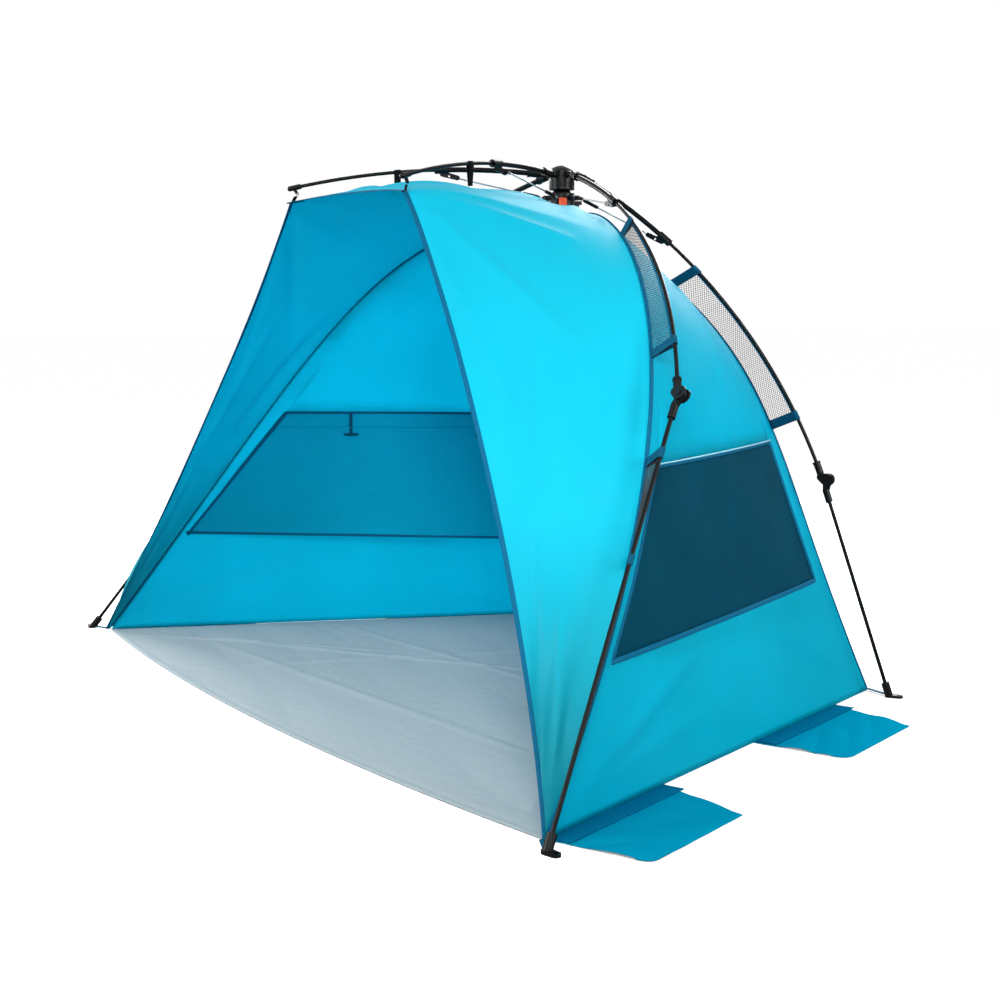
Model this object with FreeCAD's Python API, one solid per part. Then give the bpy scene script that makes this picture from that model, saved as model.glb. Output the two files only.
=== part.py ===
import FreeCAD, Part
import math
import os

from FreeCAD import Placement, Rotation
from FreeCAD import Vector as V

# A pop-up beach tent: an umbrella-like frame of four folding legs and two visor arms on one hub,
# with a canopy hung inside the frame.  Millimetres, +Z up, the front opens towards -Y.
# The origin is on the ground in the middle of the footprint.

os.makedirs("parts", exist_ok=True)

# ---- stance -------------------------------------------------------------------------------
FOOT_SPAN = 2200.0          # between the two front feet
DEPTH = 1250.0              # front feet to rear feet
REAR_SPAN = 1280.0          # between the two rear feet
HUB_BACK = 787.0            # hub axis behind the front feet
HEIGHT = 1200.0             # ground to the top of the hub

# ---- legs and visor arms ------------------------------------------------------------------
FRONT_LEG = 900.0           # knuckle to ground along the front lower leg
FRONT_LEAN = 17.6           # its lean towards the hub, in the plane of the front arch
REAR_LEG = 510.0
REAR_LEAN = 18.5
FRONT_BOW = 86.0            # rise of the bent upper pole over its chord
REAR_BOW = 80.0
ARM_BOW = 25.0
ARM_SPAN = 524.0            # between the tips of the two visor arms
ARM_REACH = 575.0           # hub axis to the tips, forwards
ARM_TIP_DROP = 59.0         # tips below the top of the hub
ROD_R = 4.0                 # glass-fibre rod
LEG_R = 4.2                 # lower leg tube
SLEEVE_R = 6.0              # steel sleeve on the hub end of each rod
SLEEVE_START = 17.0
ROD_START = 30.0
FIT = 0.2                   # clearance of a bent rod or tube in a straight socket

# ---- hub ----------------------------------------------------------------------------------
PIN_DROP = 22.0             # ear pins below the top of the hub
PIN_RING = 40.0             # ear pins from the hub axis
PIN_R = 1.6
PIN_PLAY = 0.05
BARREL_R = 30.0
BARREL_H = 57.0
DOME_RISE = 12.0            # rounded top of the barrel
EAR_R = 6.5
EAR_T = 2.6
EYE_T = 5.0                 # tongue of a pole socket
SIDE_PLAY = 0.3             # between a tongue and its ears
EYE_R = 7.0
SOCKET_R = 8.5
SOCKET_END = 42.0
POST_R = 8.0                # latch post that the runner clips on to
POST_H = 52.0
RUNNER_R = 30.0
RUNNER_H = 38.0
RUNNER_NECK = 6.6
RUNNER_GAP = 0.4            # runner below the barrel when the frame is open
RUNNER_PIN_DROP = 53.0      # runner pins below the ear pins
RUNNER_PLAY = 0.4           # runner bore round the post
CLIP_GAP = 0.3              # apex clip behind the runner

# ---- struts and their brackets --------------------------------------------------------------
BRACKET_AT = {"front": 251.0, "rear": 259.0, "visor": 243.0}   # along the pole from its pin
BRACKET_R = 9.0
BRACKET_L = 32.0
LUG_BACK = 36.0             # strut pin behind the bracket, towards the hub
LUG_DROP = 19.0             # and below the pole
LUG_T = 5.0
LUG_R = 5.5
STRUT_R = 1.75
STRUT_EYE_R = 4.5
STRUT_EYE_T = 3.0
STRUT_SIDE = 10.5           # the strut's plane beside the pole's plane
STRUT_PLAY = 0.9            # between a strut's eye and the runner's ear
OPEN_GAP = 0.6              # between a lug's pin and the strut's outer eye
RUNNER_EAR_T = 4.0

# ---- release buttons --------------------------------------------------------------------------
BUTTON_AZ = -30.0
BUTTON_W = 18.0
BUTTON_H = 22.0
BUTTON_OUT = 7.0            # stands out of the runner
BUTTON_L = 17.0
BUTTON_TRAVEL = 4.0
BUTTON_PLAY = 0.3

# ---- knuckles and feet --------------------------------------------------------------------------
KNEE_OUT = 11.0             # fold pin outside the pole's axis
KNEE_PIN_R = 3.0
CHEEK_R = 14.5
CHEEK_T = 4.0
TONGUE_T = 9.0
TONGUE_R = 10.0
TONGUE_NECK = 7.0           # tongue's radius where it meets its cup
TONGUE_REACH = 22.0         # that place below the fold pin
KNEE_SOCKET_R = 8.0
KNEE_SOCKET_L = 30.0
KNEE_TOP = 17.0             # socket's shoulder above the fold pin
KNEE_FOLD = 162.0           # how far the fork lets the lower leg fold back
LEG_START = 26.0            # lower leg tube's top below the fold pin
TONGUE_END = 50.0
FOOT_H = 34.0
FOOT_R = 9.0
STAKE_R = 5.0               # hole for a ground stake in each foot
STAKE_WALL = 4.0
STAKE_T = 6.0
STAKE_OUT = 21.0            # stake hole outside the leg

# ---- canopy ---------------------------------------------------------------------------------
CLOTH = 1.0                 # thickness of the sewn panels
SEAM = 1.2                  # each panel's edge from the seam line
FLOOR_T = 1.2
FLOOR_GAP = 0.5
APEX_BACK = 40.0            # canopy's apex behind the hub axis
APEX_DROP = 122.0           # and below the top of the hub
CORNER_IN = 55.0            # canopy's front ground corner inside the foot
CORNER_BACK = 32.0
REAR_CORNER_IN = 73.0
REAR_CORNER_OUT = 4.0
VISOR_DROP = 30.0           # canopy's front corners below the arm tips
VISOR_ARCH = 8.0            # rise of the visor's front edge in the middle
ROOF_SHARE = 0.30           # share of the front seam that the roof takes
DOME = 62.0                 # rise of the roof's front half between its straps
BACK_DOME = 0.3             # share of it that the back half has
WING_BOW = 22.0
SIDE_BOW = 16.0
APEX_HOLE = 0.02

# handles of the seams, as shares of the box between their two ends
FRONT_SEAM = ((0.496, 0.285, -0.048), (0.80, 0.301, 0.272))
REAR_SEAM = ((0.757, 0.643, 0.266), (0.611, 0.616, 0.406))
VISOR_SEAM = ((0.278, -0.014, 0.25), (0.783, 0.521, 0.737))

# window in the side wall, seen from the side: y from the middle, z from the ground
WINDOW = ((-385.0, 262.0), (500.0, 262.0), (425.0, 572.0), (-175.0, 582.0))
WINDOW_GAP = 0.4
FLAP_IN = 4.7               # roll-up flap inside the window
FLAP_T = 1.2
FLAP_HEM_R = 3.0            # rolled hem along the flap's top edge
FLAP_LAP = 10.0

# sand flaps outside the side walls
SAND_AT = (5.0, 752.0)      # along the wall from its front corner
SAND_L = 310.0
SAND_W = 205.0
SAND_T = 1.2
SAND_HEM_L = 385.0
SAND_HEM_W = 50.0
SAND_HEM_T = 2.2
SAND_ROUND = 26.0

FLOOR_BULGE = 72.0          # groundsheet's front edge before its corners

# mesh strips between the poles and the seams: along the pole, along the seam
STRAP_T = 1.0
STRAP_GAP = 0.4
VENT_LIFT = 0.9             # a strip's sewn edge above the seam
VENTS = {
    "front_vent": ("front", (361.0, 842.0), (0.275, 0.565)),
    "rear_vent": ("rear", (353.0, 777.0), (0.185, 0.58)),
}
LEG_VENT = ((0.13, 0.40), (0.694, 0.800))
VISOR_STRAP_AT = 0.42       # share of the arm from the tip to the hub
VISOR_STRAP_L = 43.3        # from the arm down to the roof

X = V(1, 0, 0)
Y = V(0, 1, 0)
Z = V(0, 0, 1)
HUB_Y = HUB_BACK - DEPTH / 2
PIN_Z = HEIGHT - PIN_DROP
RUNNER_PIN_Z = PIN_Z - RUNNER_PIN_DROP
NODES = {}


# ---- small tools ------------------------------------------------------------------------------
def unit(v):
    return V(v).normalize()


def heading(azimuth):
    """Level unit vector, azimuth in degrees from +X."""
    return V(math.cos(math.radians(azimuth)), math.sin(math.radians(azimuth)), 0)


def local(shape, origin, along, up):
    """Carry a shape drawn with x along and z up to a place, keeping x exact."""
    x = unit(along)
    y = unit(V(up).cross(x))
    z = x.cross(y)
    turn = FreeCAD.Matrix(
        x.x, y.x, z.x, origin.x,
        x.y, y.y, z.y, origin.y,
        x.z, y.z, z.z, origin.z,
        0, 0, 0, 1)
    moved = shape.copy()
    moved.Placement = Placement(turn).multiply(moved.Placement)
    return moved


def fused(*shapes):
    return shapes[0].multiFuse(list(shapes[1:])).removeSplitter()


def rod_x(radius, x0, x1, y=0.0, z=0.0):
    return Part.makeCylinder(radius, x1 - x0, V(x0, y, z), X)


def pin_y(radius, y0, y1, x=0.0, z=0.0):
    return Part.makeCylinder(radius, y1 - y0, V(x, y0, z), Y)


def link_plate(a, ra, b, rb, y0, y1):
    """Flat link in the XZ plane: two round ends joined by their common tangents."""
    ax, az = a
    bx, bz = b
    gap = math.hypot(bx - ax, bz - az)
    base = math.atan2(bz - az, bx - ax)
    flare = math.acos((ra - rb) / gap)

    def on(cx, cz, r, angle):
        return V(cx + r * math.cos(angle), y0, cz + r * math.sin(angle))

    a_top, a_far, a_low = (on(ax, az, ra, base + t) for t in (flare, math.pi, -flare))
    b_top, b_far, b_low = (on(bx, bz, rb, base + t) for t in (flare, 0.0, -flare))
    outline = Part.Wire([
        Part.Arc(a_top, a_far, a_low).toShape(),
        Part.LineSegment(a_low, b_low).toShape(),
        Part.Arc(b_low, b_far, b_top).toShape(),
        Part.LineSegment(b_top, a_top).toShape(),
    ])
    return Part.Face(outline).extrude(V(0, y1 - y0, 0))


def mirrored(shape):
    return shape.mirror(V(0, 0, 0), X)


def node(name, *shapes):
    NODES[name] = Part.makeCompound(list(shapes))


def pair(right, left, *shapes):
    """A node on the right and its mirror image on the left."""
    node(right, *shapes)
    node(left, *[mirrored(s) for s in shapes])


class Bow:
    """A pole bent to one arc from start to end, rising by bow over its chord towards bulge."""

    def __init__(self, start, end, bulge, bow):
        chord = end - start
        half = chord.Length / 2
        along = unit(chord)
        side = unit(bulge - along * bulge.dot(along))
        self.radius = (half * half + bow * bow) / (2 * bow)
        self.start = start
        self.centre = (start + end) * 0.5 - side * (self.radius - bow)
        self.axis = side.cross(along)
        self.length = self.radius * 2 * math.asin(half / self.radius)

    def at(self, s):
        turn = Rotation(self.axis, math.degrees(s / self.radius))
        return self.centre + turn.multVec(self.start - self.centre)

    def along(self, s):
        return unit(self.axis.cross(self.at(s) - self.centre))

    def outward(self, s):
        return unit(self.at(s) - self.centre)

    def tube(self, radius, s0, s1):
        ring = Part.Wire([Part.makeCircle(radius, self.at(s0), self.along(s0))])
        turn = math.degrees((s1 - s0) / self.radius)
        return Part.Face(ring).revolve(self.centre, self.axis, turn)


# ---- the six poles ------------------------------------------------------------------------------
def ear_pin(azimuth, z=PIN_Z):
    return V(0, HUB_Y, z) + heading(azimuth) * PIN_RING


def pole(end, bulge, bow, azimuth):
    """Pole from its ear to its end.  Its ear is turned to face the way the pole leaves it."""
    for _ in range(6):
        made = Bow(ear_pin(azimuth), end, bulge, bow)
        leave = made.along(0)
        azimuth = math.degrees(math.atan2(leave.y, leave.x))
    return made, azimuth


FRONT_FOOT = V(FOOT_SPAN / 2, -DEPTH / 2, 0)
REAR_FOOT = V(REAR_SPAN / 2, DEPTH / 2, 0)
ARM_TIP = V(ARM_SPAN / 2, HUB_Y - ARM_REACH, HEIGHT - ARM_TIP_DROP)
REAR_AZ = math.degrees(math.atan2(REAR_FOOT.y - HUB_Y, REAR_FOOT.x))
ARM_AZ = math.degrees(math.atan2(ARM_TIP.y - HUB_Y, ARM_TIP.x))


def knuckle_point(foot, length, lean, inward, up):
    angle = math.radians(lean)
    return foot + (inward * math.sin(angle) + up * math.cos(angle)) * length


ARCH_UP = unit(V(0, HUB_BACK, PIN_Z))       # up the slope of the front arch
FRONT_KNEE = knuckle_point(FRONT_FOOT, FRONT_LEG, FRONT_LEAN, X * -1, ARCH_UP)
REAR_KNEE = knuckle_point(REAR_FOOT, REAR_LEG, REAR_LEAN, heading(REAR_AZ) * -1, Z)

front_pole, front_az = pole(FRONT_KNEE, X, FRONT_BOW, -8.0)
rear_pole, rear_az = pole(REAR_KNEE, heading(REAR_AZ), REAR_BOW, REAR_AZ)
arm_pole, arm_az = pole(ARM_TIP, Z, ARM_BOW, ARM_AZ)
POLES = {
    "front": (front_pole, front_az, BRACKET_AT["front"]),
    "rear": (rear_pole, rear_az, BRACKET_AT["rear"]),
    "visor": (arm_pole, arm_az, BRACKET_AT["visor"]),
}


def across(azimuth):
    """Direction of an ear pin: level, square to the ear."""
    return Z.cross(heading(azimuth))


def hub_socket(bow, azimuth):
    """Plastic socket: an eye on the ear pin and a cup round the sleeve."""
    eye = link_plate((0, 0), EYE_R, (20, 0), EYE_R, -EYE_T / 2, EYE_T / 2)
    eye = eye.cut(pin_y(PIN_R + PIN_PLAY, -EYE_T, EYE_T))
    half = (SOCKET_END - SLEEVE_START) / 2
    cup = fused(rod_x(SOCKET_R, -half - 3, half), rod_x(SOCKET_R + 1, half - 5, half))
    bore = rod_x(SLEEVE_R + FIT, -half - FIT, half + 1)
    leave = bow.along(0)
    eye = local(eye, bow.start, leave, leave.cross(across(azimuth)))
    middle = (SLEEVE_START + SOCKET_END) / 2
    run = bow.along(middle)
    place = (bow.at(middle), run, run.cross(across(azimuth)))
    return fused(eye, local(cup, *place)).cut(local(bore, *place))


def bracket_frame(kind):
    """Place, run and upward direction of a strut bracket."""
    bow, azimuth, s = POLES[kind]
    run = bow.along(s)
    return bow.at(s), run, run.cross(across(azimuth))


def strut_bracket(kind):
    """Clamp on the sleeve with a finger back towards the hub, which carries the strut's pin."""
    half = BRACKET_L / 2
    clamp = rod_x(BRACKET_R, -half, half)
    finger = link_plate((-2, -9), 6.5, (-LUG_BACK, -LUG_DROP), LUG_R, -LUG_T / 2, LUG_T / 2)
    stub = pin_y(2.0, 0, STRUT_SIDE - STRUT_EYE_T / 2 - OPEN_GAP, -LUG_BACK, -LUG_DROP)
    body = fused(clamp, finger, stub)
    body = body.cut(rod_x(SLEEVE_R + FIT, -half - 1, half + 1))
    body = body.cut(pin_y(2.4, -LUG_T, LUG_T, -17, -15))
    return local(body, *bracket_frame(kind))


def lug_pin(kind):
    """Middle of the strut's outer eye, in the plane of the strut."""
    place, run, up = bracket_frame(kind)
    side = unit(V(up).cross(run))
    return place - run * LUG_BACK - up * LUG_DROP + side * STRUT_SIDE


def runner_pin(azimuth):
    return ear_pin(azimuth, RUNNER_PIN_Z) + across(azimuth) * STRUT_SIDE


def strut(kind):
    """Thin steel strut from the runner's ear to the bracket's pin, flattened to an eye at each end."""
    azimuth = POLES[kind][1]
    start = runner_pin(azimuth)
    end = lug_pin(kind)
    run = end - start
    length = run.Length
    half = STRUT_EYE_T / 2
    eye = pin_y(STRUT_EYE_R, -half, half)
    hole = pin_y(PIN_R + PIN_PLAY, -half - 1, half + 1)
    wire = fused(rod_x(STRUT_R, 2, length - 2), pin_y(STRUT_EYE_R, -half, half, length))
    wire = local(wire, start, run, run.cross(across(azimuth)))
    place = (start, heading(azimuth), Z)
    return fused(wire, local(eye, *place)).cut(local(hole, *place))


for kind in POLES:
    bow, azimuth, bracket_at = POLES[kind]
    name = kind + "_right_"
    other = kind + "_left_"
    sleeve_end = bracket_at + BRACKET_L / 2 + 2
    rod_end = bow.length - (KNEE_TOP + 1.5 if kind != "visor" else 6)
    sleeve = bow.tube(SLEEVE_R, SLEEVE_START, sleeve_end)
    sleeve = sleeve.cut(bow.tube(ROD_R + 0.1, SLEEVE_START - 1, sleeve_end + 1))
    rod = bow.tube(ROD_R, ROD_START, rod_end)
    upper = "arm" if kind == "visor" else "upper_pole"
    pair(name + upper, other + upper, rod, sleeve)
    pair(name + "pole_mounts", other + "pole_mounts", hub_socket(bow, azimuth), strut_bracket(kind))
    pair(name + "strut", other + "strut", strut(kind))


# ---- visor arm tips ------------------------------------------------------------------------------
def arm_tip():
    """Moulded end cap with a hook that the canopy's corner hangs from."""
    cap = rod_x(6.0, -26, 0)
    nose = Part.makeSphere(6.0, V(0, 0, 0))
    hook = link_plate((-10, -4), 4, (-14, -15), 3.2, -2, 2)
    body = fused(cap, nose, hook).cut(rod_x(ROD_R + 2 * FIT, -27, -5.5))
    body = body.cut(pin_y(1.6, -3, 3, -14, -15))
    s = arm_pole.length
    run = arm_pole.along(s)
    return local(body, arm_pole.at(s), run, run.cross(across(arm_az)))


pair("visor_right_arm_tip", "visor_left_arm_tip", arm_tip())


# ---- knuckles ------------------------------------------------------------------------------------
KNEE_HALF = TONGUE_T / 2 + SIDE_PLAY + CHEEK_T      # half the width over the cheeks


def knuckle_cheeks():
    """Fork of a knuckle, drawn with x down the pole, z outwards and the fold pin at the origin."""
    slot_half = TONGUE_T / 2 + SIDE_PLAY
    cheek = link_plate((0, 0), CHEEK_R, (-KNEE_TOP + 6, -KNEE_OUT), 9.5, -KNEE_HALF, KNEE_HALF)
    slot = Part.makeBox(80, 2 * slot_half, 80, V(-10.6, -slot_half, -40))
    throat = pin_y(TONGUE_R + 0.6, -slot_half, slot_half)
    return cheek.cut(slot).cut(throat).cut(pin_y(KNEE_PIN_R, -KNEE_HALF - 1, KNEE_HALF + 1))


def fold_room():
    """What the fork leaves open for a folded tongue, in the leg's frame: all inside its outer edge."""
    half = TONGUE_T / 2 + SIDE_PLAY
    neck = math.asin((TONGUE_R - TONGUE_NECK) / math.hypot(TONGUE_REACH, KNEE_OUT))
    slope = math.degrees(math.atan2(KNEE_OUT, TONGUE_REACH) + neck)
    room = Part.makeBox(80, 2 * half, 80, V(0, -half, TONGUE_R + 0.6 - 80))
    room.rotate(V(0, 0, 0), Y, slope)
    return room


def knuckle_cup():
    """Cup round the rod's end, drawn about the middle of its bore, and that bore."""
    half = KNEE_SOCKET_L / 2
    cup = fused(rod_x(KNEE_SOCKET_R, -half, half + 6), rod_x(KNEE_SOCKET_R + 1, -half, 5 - half))
    return cup, rod_x(ROD_R + FIT, -half - 1, half - 1)


def knuckle_pin():
    shank = pin_y(KNEE_PIN_R, -KNEE_HALF - 1.6, KNEE_HALF + 1.6)
    head = pin_y(KNEE_PIN_R + 2, KNEE_HALF, KNEE_HALF + 1.6)
    tail = pin_y(KNEE_PIN_R + 2, -KNEE_HALF - 1.6, -KNEE_HALF)
    return fused(shank, head, tail)


def knuckle_tongue():
    """Lower half: a tongue between the cheeks and a cup for the leg."""
    tongue = link_plate((0, 0), TONGUE_R, (TONGUE_REACH, -KNEE_OUT), TONGUE_NECK, -TONGUE_T / 2, TONGUE_T / 2)
    cup = rod_x(KNEE_SOCKET_R, TONGUE_REACH - 2, TONGUE_END, 0, -KNEE_OUT)
    body = fused(tongue, cup).cut(rod_x(LEG_R + 0.05, LEG_START, TONGUE_END + 1, 0, -KNEE_OUT))
    return body.cut(pin_y(KNEE_PIN_R + PIN_PLAY, -TONGUE_T, TONGUE_T))


def knee_frames(bow, foot):
    """Fold pin of a knuckle, then run and outward direction of its pole and of its leg."""
    end = bow.length
    out = bow.outward(end)
    pin = bow.at(end) + out * KNEE_OUT
    aim = foot - pin
    side = out.cross(bow.along(end))
    side = unit(side - unit(aim) * side.dot(unit(aim)))
    pole_run = unit(bow.along(end) - side * side.dot(bow.along(end)))
    swing = math.degrees(math.asin(KNEE_OUT / aim.Length))
    leg_run = unit(Rotation(side, -swing).multVec(aim))
    return pin, (pole_run, pole_run.cross(side)), (leg_run, leg_run.cross(side))


def foot_piece(pin, run, outward, reach):
    """Foot: a boot on the leg's end and a flat tab with the stake hole, on the ground."""
    tip = pin - outward * KNEE_OUT + run * reach
    boot = local(rod_x(FOOT_R, -FOOT_H, 4), tip, run, outward)
    bore = local(rod_x(LEG_R + 0.05, -FOOT_H - 1, -8), tip, run, outward)
    away = unit(V(outward.x, outward.y, 0))
    pad = link_plate((0, 0), FOOT_R + 1, (STAKE_OUT, 0), STAKE_R + STAKE_WALL, 0, STAKE_T)
    pad.rotate(V(0, 0, 0), X, 90)
    hole = Part.makeCylinder(STAKE_R, 40, V(STAKE_OUT, 0, -20))
    place = Placement(V(tip.x, tip.y, 0), Rotation(Z, math.degrees(math.atan2(away.y, away.x))))
    pad.Placement = place.multiply(pad.Placement)
    hole.Placement = place
    below = Part.makeBox(400, 400, 100, V(tip.x - 200, tip.y - 200, -100))
    body = fused(boot, pad).cut(below)
    return body.cut(bore).cut(hole)


def leg(kind, foot):
    bow = POLES[kind][0]
    pin, (run, out), (leg_run, leg_out) = knee_frames(bow, foot)
    socket_at = bow.length - KNEE_TOP - KNEE_SOCKET_L / 2
    cup, bore = knuckle_cup()
    place = (bow.at(socket_at), bow.along(socket_at), out)
    room = local(fold_room(), pin, leg_run, leg_out)
    room.rotate(pin, leg_run.cross(leg_out), KNEE_FOLD)
    housing = fused(local(knuckle_cheeks(), pin, run, out), local(cup, *place))
    housing = housing.cut(local(bore, *place)).cut(room)
    axle = local(knuckle_pin(), pin, run, out)
    pair(kind + "_right_knuckle", kind + "_left_knuckle", housing, axle)
    reach = (foot - pin).dot(leg_run)
    tongue = local(knuckle_tongue(), pin, leg_run, leg_out)
    top = pin - leg_out * KNEE_OUT + leg_run * (LEG_START + 0.1)
    tube = Part.makeCylinder(LEG_R, reach - LEG_START - 8.2, top, leg_run)
    pair(kind + "_right_lower_leg", kind + "_left_lower_leg", tube)
    boot = foot_piece(pin, leg_run, leg_out, reach)
    pair(kind + "_right_leg_ends", kind + "_left_leg_ends", tongue, boot)


leg("front", FRONT_FOOT)
leg("rear", REAR_FOOT)


# ---- hub -----------------------------------------------------------------------------------------
def every_azimuth():
    for azimuth in (front_az, rear_az, arm_az):
        yield azimuth, 1
        yield 180 - azimuth, -1


def upper_hub():
    """Barrel with a domed top, six pairs of ears and the latch post."""
    top = BARREL_H - DOME_RISE
    outline = Part.Wire([
        Part.makeLine(V(0, 0, 0), V(BARREL_R - 2, 0, 0)),
        Part.makeLine(V(BARREL_R - 2, 0, 0), V(BARREL_R, 0, 2)),
        Part.makeLine(V(BARREL_R, 0, 2), V(BARREL_R, 0, top)),
        Part.makeLine(V(BARREL_R, 0, top), V(0, 0, top)),
        Part.makeLine(V(0, 0, top), V(0, 0, 0)),
    ])
    skirt = Part.Face(outline).revolve(V(0, 0, 0), Z, 360)
    dome_r = (BARREL_R ** 2 + DOME_RISE ** 2) / (2 * DOME_RISE)
    ball = Part.makeSphere(dome_r, V(0, 0, BARREL_H - dome_r))
    keep = Part.makeCylinder(BARREL_R, DOME_RISE + 4, V(0, 0, top - 2))
    barrel = skirt.fuse(keep.common(ball)).removeSplitter()
    flutes = []
    for i in range(18):
        turn = 20.0 * i
        groove = Part.makeCylinder(2.2, 20, heading(turn) * (BARREL_R + 0.9), Z)
        flutes.append(groove)
    barrel = barrel.cut(Part.makeCompound(flutes))
    barrel.translate(V(0, HUB_Y, HEIGHT - BARREL_H))
    near = EYE_T / 2 + SIDE_PLAY
    pieces = [barrel]
    holes = []
    for azimuth, _ in every_azimuth():
        for y0 in (near, -near - EAR_T):
            ear = link_plate((-16, 0), EAR_R, (0, 0), EAR_R, y0, y0 + EAR_T)
            pieces.append(local(ear, ear_pin(azimuth), heading(azimuth), Z))
        hole = pin_y(PIN_R, -near - EAR_T - 1, near + EAR_T + 1)
        holes.append(local(hole, ear_pin(azimuth), heading(azimuth), Z))
    low = HEIGHT - BARREL_H
    post = Part.makeCylinder(POST_R, POST_H, V(0, HUB_Y, low - POST_H))
    tip = Part.makeCone(POST_R - 2.5, POST_R, 5, V(0, HUB_Y, low - POST_H - 5))
    body = fused(*pieces, post, tip).cut(Part.makeCompound(holes))
    groove = Part.makeTorus(POST_R + 0.6, 2.2, V(0, HUB_Y, low - POST_H + 9))
    return body.cut(groove)


def hub_pins():
    half = EYE_T / 2 + SIDE_PLAY + EAR_T
    made = []
    for azimuth, _ in every_azimuth():
        pin = fused(pin_y(PIN_R, -half, half), pin_y(PIN_R + 1.2, half, half + 1.0),
                    pin_y(PIN_R + 1.2, -half - 1.0, -half))
        made.append(local(pin, ear_pin(azimuth), heading(azimuth), Z))
    return made


RUNNER_TOP = HEIGHT - BARREL_H - RUNNER_GAP
RUNNER_LOW = RUNNER_TOP - RUNNER_NECK - RUNNER_H
EAR_SIDE = STRUT_SIDE - STRUT_EYE_T / 2 - STRUT_PLAY     # runner ear's face beside the strut's eye


def runner():
    """Lower hub: a collar that rides on the post, with six ears and a pocket for each button."""
    low = V(0, HUB_Y, RUNNER_LOW)
    collar = Part.makeCylinder(RUNNER_R, RUNNER_H, low)
    collar = collar.makeFillet(3.0, [e for e in collar.Edges if abs(e.BoundBox.ZMax - RUNNER_LOW) < 0.01])
    neck = Part.makeCone(RUNNER_R - 6, RUNNER_R - 12, RUNNER_NECK, low + V(0, 0, RUNNER_H))
    pieces = [collar, neck]
    holes = []
    for azimuth, side in every_azimuth():
        y0 = side * EAR_SIDE if side < 0 else EAR_SIDE - RUNNER_EAR_T
        ear = link_plate((-18, 0), EAR_R, (0, 0), EAR_R - 1, y0, y0 + RUNNER_EAR_T)
        place = ear_pin(azimuth, RUNNER_PIN_Z)
        pieces.append(local(ear, place, heading(azimuth), Z))
        holes.append(local(pin_y(PIN_R, y0 - 1, y0 + RUNNER_EAR_T + 1), place, heading(azimuth), Z))
    body = fused(*pieces).cut(Part.makeCompound(holes))
    body = body.cut(Part.makeCylinder(POST_R + RUNNER_PLAY, 200, V(0, HUB_Y, RUNNER_LOW - 50)))
    for azimuth in (BUTTON_AZ, 180 - BUTTON_AZ):
        body = body.cut(button_block(azimuth, BUTTON_PLAY, BUTTON_TRAVEL + BUTTON_PLAY))
    return body


def button_block(azimuth, play, deeper):
    """Rounded block on the runner's side; play and deeper turn it into its pocket."""
    width = BUTTON_W + 2 * play
    height = BUTTON_H + 2 * play
    block = Part.makeBox(BUTTON_L + deeper, width, height, V(0, -width / 2, -height / 2))
    long_edges = [e for e in block.Edges if abs(e.tangentAt(e.FirstParameter).x) > 0.9]
    block = block.makeFillet(3.0 + play, long_edges)
    place = V(0, HUB_Y, RUNNER_LOW + 4 + BUTTON_H / 2) + heading(azimuth) * (
        RUNNER_R + BUTTON_OUT - BUTTON_L - deeper)
    return local(block, place, heading(azimuth), Z)


def runner_pins():
    made = []
    for azimuth, side in every_azimuth():
        inner = EAR_SIDE - RUNNER_EAR_T
        outer = STRUT_SIDE + STRUT_EYE_T / 2 + STRUT_PLAY
        pin = fused(pin_y(PIN_R, inner, outer), pin_y(PIN_R + 1.4, outer, outer + 1.2))
        if side < 0:
            pin = pin.mirror(V(0, 0, 0), Y)
        made.append(local(pin, ear_pin(azimuth, RUNNER_PIN_Z), heading(azimuth), Z))
    return made


APEX = V(0, HUB_Y + APEX_BACK, HEIGHT - APEX_DROP)


def apex_clip():
    """Clip behind the runner that holds up the canopy's apex."""
    grip_low = APEX.z + 4.4
    arm_z = RUNNER_LOW + 12
    arm = Part.makeBox(16, 36, 9, V(-8, HUB_Y + 16, arm_z))
    grip = Part.makeCone(9.5, 7.5, arm_z + 9 - grip_low, V(0, APEX.y, grip_low))
    body = fused(arm, grip)
    return body.cut(Part.makeCylinder(RUNNER_R + CLIP_GAP, 200, V(0, HUB_Y, RUNNER_LOW - 80)))


node("upper_hub", upper_hub())
node("hub_pins", *hub_pins())
node("runner", runner())
node("runner_pins", *runner_pins())
node("apex_clip", apex_clip())
node("release_button_right", button_block(BUTTON_AZ, 0, 0))
node("release_button_left", button_block(180 - BUTTON_AZ, 0, 0))


# ---- canopy: curves and patches -------------------------------------------------------------------
def curve(start, end, handles):
    """Four poles of a seam, from its two ends and its handles."""
    span = end - start
    first, second = [start + V(h[0] * span.x, h[1] * span.y, h[2] * span.z) for h in handles]
    return [start, first, second, end]


def mix(a, b, t):
    return a * (1 - t) + b * t


def halves(poles, t):
    a, b, c = (mix(poles[i], poles[i + 1], t) for i in range(3))
    d, e = mix(a, b, t), mix(b, c, t)
    middle = mix(d, e, t)
    return [poles[0], a, d, middle], [middle, e, c, poles[3]]


def stretch(poles, t0, t1):
    """The same curve from t0 to t1."""
    if t0 > 0:
        poles = halves(poles, t0)[1]
    share = (t1 - t0) / (1 - t0)
    return halves(poles, share)[0] if share < 1 else poles


def towards(poles, others, gap):
    """A row of poles moved by gap towards another row."""
    return [p + unit(q - p) * gap for p, q in zip(poles, others)]


def net(first, last, lifts):
    """Rows of poles from one curve to another, the two middle rows lifted."""
    rows = [first]
    for share, lift in zip((1 / 3, 2 / 3), lifts):
        rows.append([mix(a, b, share) + c for a, b, c in zip(first, last, lift)])
    return rows + [last]


def bernstein(t):
    s = 1 - t
    return [s ** 3, 3 * s * s * t, 3 * s * t * t, t ** 3]


def slope(t):
    s = 1 - t
    return [-3 * s * s, 3 * s * s - 6 * s * t, 6 * s * t - 3 * t * t, 3 * t * t]


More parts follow.
